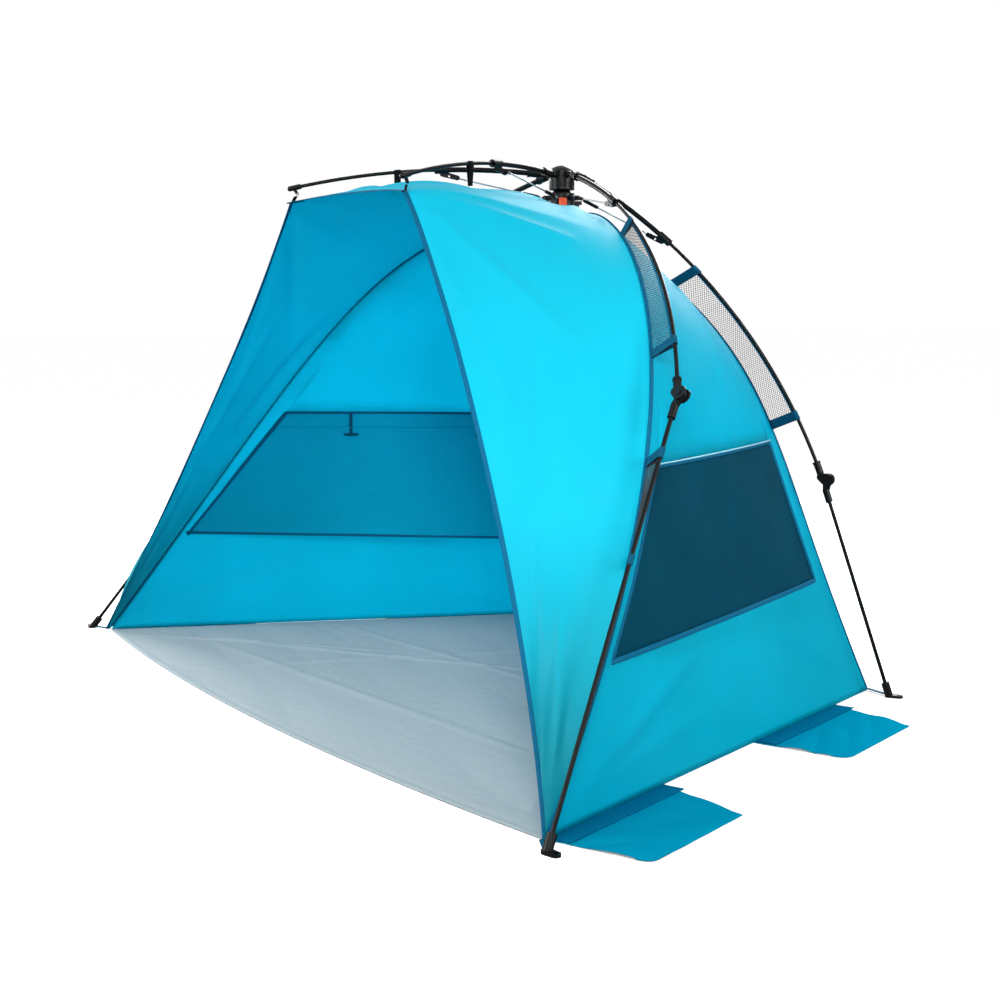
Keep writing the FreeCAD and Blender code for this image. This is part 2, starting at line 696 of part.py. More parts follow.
def total(rows, wi, wj):
    out = V(0, 0, 0)
    for i in range(4):
        for j in range(4):
            out = out + rows[i][j] * (wi[i] * wj[j])
    return out


def shifted(rows, inside, thick):
    """The net moved by thick along its surface's normal, towards a point inside."""
    centre = total(rows, bernstein(0.5), bernstein(0.5))
    side = 1 if normal_at(rows, 0.5, 0.5).dot(inside - centre) > 0 else -1
    moved = []
    for i in range(4):
        line = []
        for j in range(4):
            normal = normal_at(rows, min(max(i / 3, 0.02), 0.98), min(max(j / 3, 0.02), 0.98))
            line.append(rows[i][j] + normal * (thick * side))
        moved.append(line)
    return moved


def normal_at(rows, a, b):
    return unit(total(rows, slope(a), bernstein(b)).cross(total(rows, bernstein(a), slope(b))))


def patch_face(rows):
    """Bezier face through the rows of a net, or between two curves."""
    surface = Part.BezierSurface()
    surface.increase(len(rows) - 1, 3)
    for i, line in enumerate(rows):
        for j, point in enumerate(line):
            surface.setPole(i + 1, j + 1, point)
    return surface.toShape()


def border(rows):
    """The four boundary curves of a net."""
    return [rows[0], rows[3], [r[0] for r in rows], [r[3] for r in rows]]


def key(poles):
    ends = [tuple(round(c, 2) for c in p) for p in poles]
    return min(tuple(ends), tuple(reversed(ends)))


def quilt(nets, inside, thick=CLOTH):
    """One closed solid from patches that share borders: outer skin, inner skin and a rim."""
    inner = [shifted(rows, inside, thick) for rows in nets]
    share_points(nets, inner)
    faces = [patch_face(rows) for rows in nets + inner]
    count = {}
    for rows in nets:
        for side in border(rows):
            count[key(side)] = count.get(key(side), 0) + 1
    for rows, under in zip(nets, inner):
        for side, below in zip(border(rows), border(under)):
            if count[key(side)] == 1:
                faces.append(patch_face([side, below]))
    shell = Part.makeShell(faces)
    shell.sewShape()
    solid = Part.makeSolid(shell if shell.ShapeType == "Shell" else shell.Shells[0])
    if solid.Volume < 0:
        solid.reverse()
    return solid


def share_points(nets, inner):
    """Give patches that share outer poles the mean of their inner poles there."""
    groups = {}
    for k, rows in enumerate(nets):
        for i in range(4):
            for j in range(4):
                spot = tuple(round(c, 2) for c in rows[i][j])
                groups.setdefault(spot, []).append((k, i, j))
    for places in groups.values():
        if len(places) > 1:
            middle = V(0, 0, 0)
            for k, i, j in places:
                middle = middle + inner[k][i][j]
            middle = middle * (1 / len(places))
            for k, i, j in places:
                inner[k][i][j] = middle


def flip(rows):
    return [[V(-p.x, p.y, p.z) for p in line] for line in rows]


LOW = FLOOR_T + FLOOR_GAP
INSIDE = V(0, HUB_Y - 120, 350)
FRONT_CORNER = V(FOOT_SPAN / 2 - CORNER_IN, -DEPTH / 2 + CORNER_BACK, LOW)
REAR_CORNER = V(REAR_SPAN / 2 - REAR_CORNER_IN, DEPTH / 2 + REAR_CORNER_OUT, LOW)
VISOR_CORNER = V(ARM_TIP.x + 1, ARM_TIP.y + 1, ARM_TIP.z - VISOR_DROP)
WING_CORNER = FRONT_CORNER + V(11, -10, 0)
front_seam = curve(APEX, FRONT_CORNER, FRONT_SEAM)
rear_seam = curve(APEX, REAR_CORNER, REAR_SEAM)
visor_seam = curve(VISOR_CORNER, WING_CORNER, VISOR_SEAM)


def front_canopy():
    """Roof and two wings in one piece, from the visor's free edge back to the front seam."""
    roof_seam, wing_seam = halves(front_seam, ROOF_SHARE)
    middle = V(0, VISOR_CORNER.y + 17, VISOR_CORNER.z + VISOR_ARCH)
    brow = [middle, V(VISOR_CORNER.x * 0.38, middle.y, middle.z + 1),
            VISOR_CORNER + V(-72, 12, VISOR_ARCH * 0.75), VISOR_CORNER]
    rise = [Z * DOME, Z * DOME, Z * (DOME * 0.95), Z * (DOME * 0.7)]
    roof_back = towards(roof_seam, brow, SEAM)
    roof = list(zip(*net(brow, roof_back, (rise, [r * BACK_DOME for r in rise]))))
    wing_back = towards(wing_seam, visor_seam, SEAM)
    wing_back[0] = roof_back[3]
    out = unit(V(0.85, 0.0, 0.55))
    swell = [rise[3], out * WING_BOW * 1.3, out * WING_BOW, V(0, 0, 0)]
    wing = list(zip(*net(visor_seam, wing_back, (swell, [swell[0] * BACK_DOME] + swell[1:]))))
    roof = [list(r) for r in roof]
    wing = [list(r) for r in wing]
    wing[0] = roof[3]
    roof[0] = [V(0, p.y, p.z) for p in roof[0]]
    return quilt([roof, wing, flip(roof), flip(wing)], INSIDE)


def side_net():
    """Side wall between the front and the rear seam."""
    front = stretch(front_seam, APEX_HOLE, 1)
    rear = stretch(rear_seam, APEX_HOLE, 1)
    out = unit(V(0.9, 0.36, 0.25))
    swell = [V(0, 0, 0), out * SIDE_BOW, out * SIDE_BOW, V(0, 0, 0)]
    return net(towards(front, rear, SEAM), towards(rear, front, SEAM), (swell, swell))


def back_net():
    """Back wall between the two rear seams."""
    right = stretch(rear_seam, APEX_HOLE, 1)
    left = [V(-p.x, p.y, p.z) for p in right]
    swell = [V(0, 0, 0), V(0, SIDE_BOW, 6), V(0, SIDE_BOW, 6), V(0, 0, 0)]
    return net(towards(right, left, SEAM), towards(left, right, SEAM), (swell, swell))


def window_prism(grow):
    """The window's outline, seen from the side, through the right-hand wall."""
    centre = V(0, sum(p[0] for p in WINDOW) / 4, sum(p[1] for p in WINDOW) / 4)
    corners = [V(50, y, z) for y, z in WINDOW]
    corners = [c + unit(V(0, c.y - centre.y, c.z - centre.z)) * grow for c in corners]
    return Part.Face(Part.makePolygon(corners + corners[:1])).extrude(V(FOOT_SPAN / 2, 0, 0))


side = quilt([side_net()], INSIDE)
pair("side_wall_right", "side_wall_left", side.cut(window_prism(0)))
pair("window_mesh_right", "window_mesh_left", side.common(window_prism(-WINDOW_GAP * 1.5)))
node("front_canopy", front_canopy())
node("back_wall", quilt([back_net()], INSIDE))


def window_flap():
    """Roll-up flap hung inside the window from its straight top edge."""
    rows = side_net()
    spots = []
    for u, v in ((0.713, 0.105), (0.640, 0.875), (0.862, 0.915), (0.880, 0.035)):
        spots.append(total(rows, bernstein(v), bernstein(u)))
    normal = unit((spots[1] - spots[0]).cross(spots[3] - spots[0]))
    if normal.dot(INSIDE - spots[0]) < 0:
        normal = normal * -1
    flat = [p - normal * (p - spots[0]).dot(normal) + normal * FLAP_IN for p in spots]
    sheet = Part.Face(Part.makePolygon(flat + flat[:1])).extrude(normal * FLAP_T)
    top = flat[1] - flat[0]
    hem = Part.makeCylinder(FLAP_HEM_R, top.Length, flat[0], top)
    return fused(sheet, hem)


pair("window_flap_right", "window_flap_left", window_flap())


# ---- floor and sand flaps -------------------------------------------------------------------------
def groundsheet():
    a = V(FRONT_CORNER.x, FRONT_CORNER.y, 0)
    b = V(REAR_CORNER.x, REAR_CORNER.y, 0)
    c = V(-b.x, b.y, 0)
    d = V(-a.x, a.y, 0)
    bulge = V(0, a.y - FLOOR_BULGE, 0)
    outline = Part.Wire([
        Part.LineSegment(a, b).toShape(),
        Part.LineSegment(b, c).toShape(),
        Part.LineSegment(c, d).toShape(),
        Part.Arc(d, bulge, a).toShape(),
    ])
    return Part.Face(outline).extrude(V(0, 0, FLOOR_T))


def sand_flap(start):
    """Flat flap outside the wall, to be weighted with sand, with a doubled strip along the wall."""
    run = unit(V(REAR_CORNER.x - FRONT_CORNER.x, REAR_CORNER.y - FRONT_CORNER.y, 0))
    out = run.cross(Z)
    corner = V(FRONT_CORNER.x, FRONT_CORNER.y, 0) + out * 0.4
    sheet = Part.makeBox(SAND_L, SAND_W, SAND_T)
    far = [e for e in sheet.Edges if e.BoundBox.XMax < 0.01 and e.BoundBox.YMin > SAND_W - 0.01
           and e.BoundBox.ZLength > 0.5]
    sheet = sheet.makeFillet(SAND_ROUND, far)
    hem = Part.makeBox(SAND_HEM_L, SAND_HEM_W, SAND_HEM_T)
    body = fused(sheet, hem)
    body = body.mirror(V(0, 0, 0), Y)
    place = corner + run * start
    return local(body, place, run, Z)


node("groundsheet", groundsheet())
pair("sand_flaps_right", "sand_flaps_left", *[sand_flap(s) for s in SAND_AT])


# ---- mesh strips, straps and patch -----------------------------------------------------------------
def beside(line, runs, others, gap):
    """A row of poles moved square off its own run by gap, towards another row."""
    moved = []
    for p, run, q in zip(line, runs, others):
        aside = q - p
        moved.append(p + unit(aside - run * aside.dot(run)) * gap)
    return moved


def arc_poles(bow, s0, s1, inward, gap):
    """Four poles along the underside of a bent pole."""
    reach = (s1 - s0) / 3
    a, b = bow.at(s0), bow.at(s1)
    start, stop = bow.along(s0), bow.along(s1)
    line = [a, a + start * reach, b - stop * reach, b]
    return beside(line, (start, start, stop, stop), inward, gap)


def strip(first, last):
    """Thin mesh strip between two curves."""
    none = [V(0, 0, 0)] * 4
    return quilt([net(first, last, (none, none))], INSIDE, STRAP_T)


def vent(kind, along, share):
    seam = front_seam if kind == "front" else rear_seam
    bow = POLES[kind][0]
    edge_line = stretch(seam, *share)
    near = arc_poles(bow, along[0], along[1], edge_line, ROD_R + STRAP_GAP)
    lift = unit(V(0.75, 0.35, 0.6))
    return strip(near, [p + lift * VENT_LIFT for p in edge_line])


def leg_vent():
    (t0, t1), share = LEG_VENT
    pin, _, (run, out) = knee_frames(front_pole, FRONT_FOOT)
    top = pin - out * KNEE_OUT
    reach = (FRONT_FOOT - pin).dot(run)
    a, b = top + run * (reach * t0), top + run * (reach * t1)
    edge_line = stretch(front_seam, *share)
    line = [mix(a, b, i / 3) for i in range(4)]
    near = beside(line, [run] * 4, edge_line, LEG_R + STRAP_GAP)
    lift = unit(V(0.75, 0.35, 0.6))
    return strip(near, [p + lift * VENT_LIFT for p in edge_line])


vents = [vent(*VENTS[name]) for name in VENTS] + [leg_vent()]
pair("vent_strips_right", "vent_strips_left", *vents)


def webbing(a, b, width, across_dir, thick=STRAP_T):
    """Flat strap from a to b."""
    run = b - a
    body = Part.makeBox(run.Length, width, thick, V(0, -width / 2, -thick / 2))
    return local(body, a, run, run.cross(across_dir))


def visor_straps():
    """Straps that hang the roof from the visor arms, at the tips and part of the way back."""
    s_mid = arm_pole.length * (1 - VISOR_STRAP_AT)
    level = across(arm_az)
    mid_top = arm_pole.at(s_mid) - Z * (ROD_R + 0.8)
    mid = webbing(mid_top, mid_top - Z * VISOR_STRAP_L, 14, arm_pole.along(s_mid))
    tip_top = arm_pole.at(arm_pole.length - 14) - Z * 19.5
    tip = webbing(tip_top, VISOR_CORNER + V(-2, 6, 2.6), 8, level)
    return [mid, tip]


def corner_strap(corner, foot, start):
    """Elastic strap from a ground corner of the canopy to the foot."""
    level = V(foot.x - corner.x, foot.y - corner.y, 0)
    run = unit(level)
    a = V(corner.x, corner.y, 4.0) + run * start
    b = V(foot.x, foot.y, 4.0) - run * (FOOT_R + 5)
    return webbing(a, b, 10, run.cross(Z) * -1)


straps = visor_straps()
node("visor_straps", *straps, *[mirrored(s) for s in straps])
corners = [corner_strap(WING_CORNER, FRONT_FOOT, 1.5), corner_strap(REAR_CORNER, REAR_FOOT, 1.5)]
node("corner_straps", *corners, *[mirrored(s) for s in corners])
node("apex_patch", Part.makeCylinder(12, 1.6, APEX + V(0, 0, 2.4)))

for name, shape in NODES.items():
    shape.exportStep(f"parts/{name}.step")
print(len(NODES), "nodes")
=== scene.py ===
"""Looks of the pop up tent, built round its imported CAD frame."""

import math

import bmesh
import bpy
import numpy as np
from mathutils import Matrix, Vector


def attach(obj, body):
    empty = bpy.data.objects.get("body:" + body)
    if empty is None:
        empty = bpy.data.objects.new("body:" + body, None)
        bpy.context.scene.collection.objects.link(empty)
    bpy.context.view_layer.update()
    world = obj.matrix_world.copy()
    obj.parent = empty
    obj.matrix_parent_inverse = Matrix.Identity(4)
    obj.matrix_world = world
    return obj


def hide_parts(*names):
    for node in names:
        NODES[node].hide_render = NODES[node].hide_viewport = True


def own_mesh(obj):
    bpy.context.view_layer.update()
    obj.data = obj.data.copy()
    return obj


bl_info = {
    "name": "Pop up tent",
    "version": (1, 0, 0),
    "blender": (4, 5, 0),
    "location": "View3D > Sidebar > Tent",
    "description": "Cloth, webbing and finishes of a pop up tent on its folding frame",
    "category": "Object",
}

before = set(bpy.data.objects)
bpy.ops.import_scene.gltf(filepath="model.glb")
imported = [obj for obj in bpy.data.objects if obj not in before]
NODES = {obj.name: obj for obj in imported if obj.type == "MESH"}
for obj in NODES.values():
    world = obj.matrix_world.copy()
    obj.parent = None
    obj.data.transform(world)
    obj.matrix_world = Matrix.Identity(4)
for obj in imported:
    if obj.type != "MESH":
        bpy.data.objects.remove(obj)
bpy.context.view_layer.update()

# ---- the frame's sizes, in metres and degrees, as in the part's source --------------------------
HUB_Y = 0.162
PIN_RING = 0.040            # the ears' pins from the hub's axis
PIN_Z = 1.178               # and over the ground
FRONT_FOOT = np.array([1.100, -0.625, 0.0])
REAR_FOOT = np.array([0.640, 0.625, 0.0])
ARM_TIP = np.array([0.262, -0.413, 1.141])
FRONT_LEG, FRONT_LEAN = 0.900, 17.6
REAR_LEG, REAR_LEAN = 0.510, 18.5
FRONT_BOW, REAR_BOW, ARM_BOW = 0.086, 0.080, 0.025
AZIMUTHS = {"front": -8.331468, "rear": 35.883388, "visor": -65.503515}
APEX = np.array([0.0, 0.202, 1.078])
FRONT_CORNER = np.array([1.045, -0.593, 0.0015])
REAR_CORNER = np.array([0.567, 0.629, 0.0015])
VISOR_CORNER = np.array([0.263, -0.412, 1.111])
WING_CORNER = np.array([1.056, -0.603, 0.0015])
FRONT_HANDLES = ((0.496, 0.285, -0.048), (0.80, 0.301, 0.272))
REAR_HANDLES = ((0.757, 0.643, 0.266), (0.611, 0.616, 0.406))
VISOR_HANDLES = ((0.278, -0.014, 0.25), (0.783, 0.521, 0.737))
ROOF_SHARE = 0.30           # of the front seam, and of the canopy's columns, that is roof
DOME = 0.062                # lift of the roof's inner poles
BACK_DOME = 0.3             # share of that lift near the back seam
WING_BOW = 0.022            # swell of a wing's inner poles
SIDE_BOW = 0.016            # and of a wall's
APEX_HOLE = 0.02            # share of a seam that is left open at the apex
SEAM = 0.0012               # from a panel's edge to its seam line
# the window's corners in y and z, and the flap's corners in the wall's own parameters
WINDOW = np.array([(-0.385, 0.262), (0.500, 0.262), (0.425, 0.572), (-0.175, 0.582)])
FLAP_SPOTS = ((0.105, 0.713), (0.875, 0.640), (0.915, 0.862), (0.035, 0.880))
FLAP_IN = 0.0047            # the flap's plane inside the wall
FLAP_HEAD = 0.040           # the header's height over the hinge line
FLAP_SIDE = 0.022           # the flap's first side moved out along its top
SAND_STARTS = (0.005, 0.752)
SAND_L = 0.310
SAND_W = 0.205
SAND_HEM_L = 0.385
SAND_HEM_W = 0.050
SAND_ROUND = 0.026
FLOOR_BULGE = 0.072         # the groundsheet's front edge in front of its corners
FLOOR_IN = 0.004            # the groundsheet's sides inside the walls' corners
ROD_R = 0.004
LEG_R = 0.0042
GAP = 0.0004                # between a pole and what is sewn round it
UP = np.array([0.0, 0.0, 1.0])
SWELL_OUT = np.array([0.839, 0.0, 0.543])
FRONT_OUT = np.array([0.75, 0.30, 0.60])
REAR_OUT = np.array([0.80, 0.58, 0.15])
VENT_OUT = np.array([0.75, 0.35, 0.6])
INSIDE = np.array([0.0, HUB_Y - 0.12, 0.35])


# ---- settings that a user would change ----------------------------------------------------------
class TentSizes(bpy.types.PropertyGroup):
    cloth: bpy.props.FloatProperty(
        name="Cloth", description="Thickness that the sewn panels show", default=0.0008,
        subtype="DISTANCE", unit="LENGTH")
    tape: bpy.props.FloatProperty(
        name="Binding", description="Width of the binding tape over the seams", default=0.0095,
        subtype="DISTANCE", unit="LENGTH")
    folds: bpy.props.FloatProperty(
        name="Folds", description="Height of all folds and waves, times the heights listed with them",
        default=1.15, min=0.0, max=3.0, subtype="FACTOR")
    net_pitch: bpy.props.FloatProperty(
        name="Net pitch", description="Spacing of the vent net's cells", default=0.0075,
        subtype="DISTANCE", unit="LENGTH")


class TentColours(bpy.types.PropertyGroup):
    canopy: bpy.props.StringProperty(
        name="Canopy", description="Colour of the canopy cloth, sRGB hex", default="#02cae2")
    # painted shade: the flaps are the canopy's cloth, given a deeper blue for the shade they hang in
    # behind the window
    flap: bpy.props.StringProperty(
        name="Window flap", description="Colour of the roll-up flaps, sRGB hex", default="#02a4c8")
    floor: bpy.props.StringProperty(
        name="Floor", description="Colour of the groundsheet, sRGB hex", default="#98a4a8")
    tape: bpy.props.StringProperty(
        name="Binding", description="Colour of the binding tape, sRGB hex", default="#04597c")
    webbing: bpy.props.StringProperty(
        name="Webbing", description="Colour of the webbing bands, sRGB hex", default="#084a65")
    net: bpy.props.StringProperty(
        name="Net", description="Colour of the vent net, sRGB hex", default="#1f1f21")
    button: bpy.props.StringProperty(
        name="Buttons", description="Colour of the release buttons, sRGB hex", default="#e8502a")


# ---- curves and surfaces ------------------------------------------------------------------------
def bernstein(t):
    """The four cubic weights (1-t)^3, 3t(1-t)^2, 3t^2(1-t), t^3 along a new last axis."""
    t = np.asarray(t, float)[..., None]
    s = 1 - t
    return np.concatenate([s**3, 3 * t * s**2, 3 * t**2 * s, t**3], axis=-1)


def on_curve(poles, t):
    """Point of a cubic curve: the four poles weighed by the cubic weights of t."""
    return bernstein(t) @ poles


def on_net(net, a, b):
    """Point of a cubic surface: the sixteen poles weighed by the weights of a and of b."""
    return np.einsum("...i,...j,ijk->...k", bernstein(a), bernstein(b), net)


def seam_line(start, end, handles):
    """Poles of a seam: both ends, and two handles given as shares of the box between them."""
    span = end - start
    return np.array([start, start + span * handles[0], start + span * handles[1], end])


def part_of(poles, t0, t1):
    """Poles of the same curve from t0 to t1, each the curve's polar form of its three values."""
    def polar(*values):
        """Blends neighbours by each value in turn, q0 * (1 - x) + q1 * x, down to one point."""
        q = poles
        for x in values:
            q = q[:-1] * (1 - x) + q[1:] * x
        return q[0]
    return np.array([polar(t0, t0, t0), polar(t0, t0, t1), polar(t0, t1, t1), polar(t1, t1, t1)])


def unit(v):
    """v divided by its own length, along the last axis."""
    v = np.asarray(v, float)
    return v / np.maximum(np.linalg.norm(v, axis=-1, keepdims=True), 1e-12)


def towards(poles, others, gap):
    """Poles moved by the gap along the unit vectors to the others."""
    return poles + unit(others - poles) * gap


def net_between(first, last, lift_a, lift_b):
    """Four rows of poles from one curve to another, the two middle rows lifted."""
    return np.array([
        first, first * 2 / 3 + last / 3 + lift_a, first / 3 + last * 2 / 3 + lift_b, last])


def mirror(points):
    """Points of the left side from those of the right: x becomes -x."""
    return points * np.array([-1.0, 1.0, 1.0])


def same(points):
    """Points of the right side, as they are."""
    return points


PLACED = {"right": same, "left": mirror}


def smooth(t):
    """0 below 0, 1 above 1, and 3t^2 - 2t^3 between."""
    t = np.clip(t, 0, 1)
    return t * t * (3 - 2 * t)


WALL_OUT = unit(np.array([0.9, 0.36, 0.25]))
FRONT_SEAM = seam_line(APEX, FRONT_CORNER, FRONT_HANDLES)
REAR_SEAM = seam_line(APEX, REAR_CORNER, REAR_HANDLES)
VISOR_SEAM = seam_line(VISOR_CORNER, WING_CORNER, VISOR_HANDLES)


def canopy_nets():
    """Poles of the right half of the front canopy: its roof and its wing, from front to back."""
    roof_seam, wing_seam = part_of(FRONT_SEAM, 0, ROOF_SHARE), part_of(FRONT_SEAM, ROOF_SHARE, 1)
    middle = np.array([0.0, VISOR_CORNER[1] + 0.017, VISOR_CORNER[2] + 0.008])
    brow = np.array([
        middle, (VISOR_CORNER[0] * 0.38, middle[1], middle[2] + 0.001),
        VISOR_CORNER + (-0.072, 0.012, 0.006), VISOR_CORNER])
    rise = UP * DOME * np.array([[1.0], [1.0], [0.95], [0.7]])
    roof_back = towards(roof_seam, brow, SEAM)
    wing_back = towards(wing_seam, VISOR_SEAM, SEAM)
    wing_back[0] = roof_back[3]
    swell = np.array([rise[3], SWELL_OUT * WING_BOW * 1.3, SWELL_OUT * WING_BOW, UP * 0])
    back_swell = swell * np.array([[BACK_DOME], [1], [1], [1]])
    roof = net_between(brow, roof_back, rise, rise * BACK_DOME)
    wing = net_between(VISOR_SEAM, wing_back, swell, back_swell)
    roof[:, 0, 0] = 0
    wing[:, 0] = roof[:, 3]
    return roof, wing


def side_net():
    """Poles of the right-hand wall, from the front seam to the rear seam, from apex to ground."""
    front, rear = part_of(FRONT_SEAM, APEX_HOLE, 1), part_of(REAR_SEAM, APEX_HOLE, 1)
    fore, aft = towards(front, rear, SEAM), towards(rear, front, SEAM)
    swell = np.outer((0, 1, 1, 0), WALL_OUT) * SIDE_BOW
    return net_between(fore, aft, swell, swell)


def back_net():
    """Poles of the back wall, from its left seam to its right seam."""
    right = part_of(REAR_SEAM, APEX_HOLE, 1)
    left = mirror(right)
    swell = np.outer((0, 1, 1, 0), (0.0, SIDE_BOW, 0.006))
    return net_between(towards(left, right, SEAM), towards(right, left, SEAM), swell, swell)


# ---- meshes -------------------------------------------------------------------------------------
def finish_piece(obj, material, body, nodes=(), squash=True):
    """Gives a piece its finish, its body and the nodes that it stands for."""
    obj.data.materials.append(material)
    obj.data.polygons.foreach_set("use_smooth", np.ones(len(obj.data.polygons), bool))
    if squash:
        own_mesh(obj)
    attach(obj, body)
    if nodes:
        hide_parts(*nodes)
    return obj


def new_mesh(name, points, faces, uv=None):
    """Object from arrays of points and faces, with a UV map in metres where one is given."""
    mesh = bpy.data.meshes.new(name)
    mesh.from_pydata(points.reshape(-1, 3).tolist(), [], faces)
    if uv is not None:
        layer = mesh.uv_layers.new(name="cloth")
        index = np.zeros(len(mesh.loops), np.int32)
        mesh.loops.foreach_get("vertex_index", index)
        layer.data.foreach_set("uv", uv.reshape(-1, 2)[index].astype(np.float32).ravel())
    mesh.update()
    obj = bpy.data.objects.new(name, mesh)
    bpy.context.scene.collection.objects.link(obj)
    return obj


def grid_faces(rows, columns, flip=False):
    """Quads of a grid whose points are numbered row by row."""
    i, j = np.meshgrid(np.arange(rows - 1), np.arange(columns - 1), indexing="ij")
    a = i * columns + j
    quads = np.stack([a, a + 1, a + columns + 1, a + columns], axis=-1).reshape(-1, 4)
    return quads[:, ::-1] if flip else quads


def run_lengths(points, axis):
    """Length walked along one axis of a grid, up to each of its points."""
    steps = np.linalg.norm(np.diff(points, axis=axis), axis=-1)
    start = np.zeros_like(np.take(steps, [0], axis=axis))
    return np.cumsum(np.concatenate([start, steps], axis=axis), axis=axis)


def normals_of(points):
    """Unit normal at each point of a grid: the cross product of its two differences."""
    return unit(np.cross(np.gradient(points, axis=0), np.gradient(points, axis=1)))


def hills(points, lines, reach=0.12):
    """Sum of ridges. A ridge is height * exp(-(d/width)^2 - (e/reach)^4) * sin(pi t)^0.7, with d the
    distance from the line between its two ends, taken within the surface, e the distance square to
    the surface, and t how far along that line the nearest point is. So a line may lie up to a
    decimetre above or below the surface."""
    height = np.zeros(points.shape[:-1])
    normals = normals_of(points)
    for start, end, width, rise in lines:
        start, end = np.array(start), np.array(end)
        run = end - start
        t = np.clip((points - start) @ run / (run @ run), 0, 1)
        off = points - start - t[..., None] * run
        deep = (off * normals).sum(axis=-1)
        across = np.linalg.norm(off - deep[..., None] * normals, axis=-1)
        ridge = np.exp(-((across / width) ** 2) - (deep / reach) ** 4)
        height += rise * ridge * np.sin(np.pi * t) ** 0.7
    return height


def waves(points, seed, wavelength, rise):
    """Sum of five sines of place, in directions and phases drawn from a fixed seed."""
    draw = np.random.default_rng(seed)
    height = np.zeros(points.shape[:-1])
    for k in range(5):
        # each sine is longer than the one before, from 0.6 of the wavelength, and lower
        heading = unit(draw.normal(size=3)) * 2 * math.pi / (wavelength * (0.6 + 0.25 * k))
        height += np.sin(points @ heading + draw.uniform(0, 6.28)) * rise / (1 + 0.4 * k)
    return height


def grid_piece(name, points, flip=False):
    """Cloth without thickness: a grid of points, with its UV map from the lengths along it."""
    uv = np.stack([run_lengths(points, 0), run_lengths(points, 1)], axis=-1)
    return new_mesh(name, points, grid_faces(*points.shape[:2], flip).tolist(), uv)


def sheet_piece(name, points, thickness, flip=False):
    """Cloth panel: a grid of points given an even thickness by Solidify, centred on the grid."""
    obj = grid_piece(name, points, flip)
    thicken(obj, thickness)
    return obj


def thicken(obj, thickness):
    """Solidify with half the thickness on each side of the mesh."""
    solid = obj.modifiers.new("Thickness", "SOLIDIFY")
    solid.thickness = thickness
    solid.offset = 0.0
    solid.use_even_offset = False


def swept(name, path, side, up, outline, closed=False):
    """Outline carried along a path: point + x * side + y * up for each of its points (x, y)."""
    side, up = np.broadcast_to(side, path.shape), np.broadcast_to(up, path.shape)
    outline = np.asarray(outline, float)
    points = (path[:, None] + outline[None, :, :1] * side[:, None]
              + outline[None, :, 1:] * up[:, None])
    n, k = points.shape[:2]
    number = np.arange(n * k).reshape(n, k)
    ring = np.concatenate([number, number[:, :1]], axis=1)
    if closed:
        ring = np.concatenate([ring, ring[:1]], axis=0)
    faces = np.stack([ring[:-1, :-1], ring[:-1, 1:], ring[1:, 1:], ring[1:, :-1]], axis=-1)
    faces = faces.reshape(-1, 4).tolist()
    if not closed:
        faces += [list(range(k))[::-1], list(range((n - 1) * k, n * k))]
    along = np.concatenate([[0], np.cumsum(np.linalg.norm(np.diff(path, axis=0), axis=-1))])
    across = np.linspace(0, 1, k) * np.ptp(outline[:, 0]) * 2
    uv = np.stack(np.meshgrid(along, across, indexing="ij"), axis=-1)
    obj = new_mesh(name, points, faces, uv)
    outward(obj)
    return obj


def tapered(name, path, side, up, girth, steps=12):
    """Round bar along a path whose radius at each point is girth: point + girth * (cos * side +
    sin * up), closed by a flat face at each end."""
    turn = np.arange(steps) * 2 * math.pi / steps
    outline = np.stack([np.cos(turn), np.sin(turn)], axis=-1)
    side, up = np.broadcast_to(side, path.shape), np.broadcast_to(up, path.shape)
    spread = outline[None, :, :1] * side[:, None] + outline[None, :, 1:] * up[:, None]
    points = path[:, None] + spread * girth[:, None, None]
    n = len(path)
    number = np.arange(n * steps).reshape(n, steps)
    ring = np.concatenate([number, number[:, :1]], axis=1)
    faces = np.stack([ring[:-1, :-1], ring[:-1, 1:], ring[1:, 1:], ring[1:, :-1]], axis=-1)
    faces = faces.reshape(-1, 4).tolist()
    faces += [list(range(steps))[::-1], list(range((n - 1) * steps, n * steps))]
    along, round_it = np.linspace(0, 0.04, n), np.linspace(0, 0.02, steps)
    uv = np.stack(np.meshgrid(along, round_it, indexing="ij"), axis=-1)
    obj = new_mesh(name, points, faces, uv)
    outward(obj)
    return obj


def outward(obj):
    """Recalculates the faces of a closed mesh so that they point out."""
    work = bmesh.new()
    work.from_mesh(obj.data)
    bmesh.ops.remove_doubles(work, verts=work.verts, dist=1e-7)
    bmesh.ops.recalc_face_normals(work, faces=work.faces)
    work.to_mesh(obj.data)
    work.free()


def weld(obj, gap=1e-5):
    """Merges points that lie on each other, so that panels share their edges."""
    work = bmesh.new()
    work.from_mesh(obj.data)
    bmesh.ops.remove_doubles(work, verts=work.verts, dist=gap)
    work.to_mesh(obj.data)
    work.free()


def tape_outline(width, thick, steps=5):
    """Flat strip with rounded edges: x = +-(w/2 - r) + r cos, y = r sin, with r half the thickness."""
    r = thick / 2
    turn = np.linspace(-math.pi / 2, math.pi / 2, steps)
    right = np.stack([width / 2 - r + r * np.cos(turn), r * np.sin(turn)], axis=-1)
    return np.concatenate([right, -right])


def round_outline(radius, steps=12):
    """Circle: x = r cos, y = r sin."""
    turn = np.arange(steps) * 2 * math.pi / steps
    return np.stack([radius * np.cos(turn), radius * np.sin(turn)], axis=-1)


def frame_along(path, out):
    """Sideways and outward unit vectors of a path: out made square to the run, then run x out."""
    run = unit(np.gradient(path, axis=0))
    out = np.broadcast_to(out, path.shape)
    out = unit(out - run * np.sum(out * run, axis=-1, keepdims=True))
    return np.cross(run, out), out


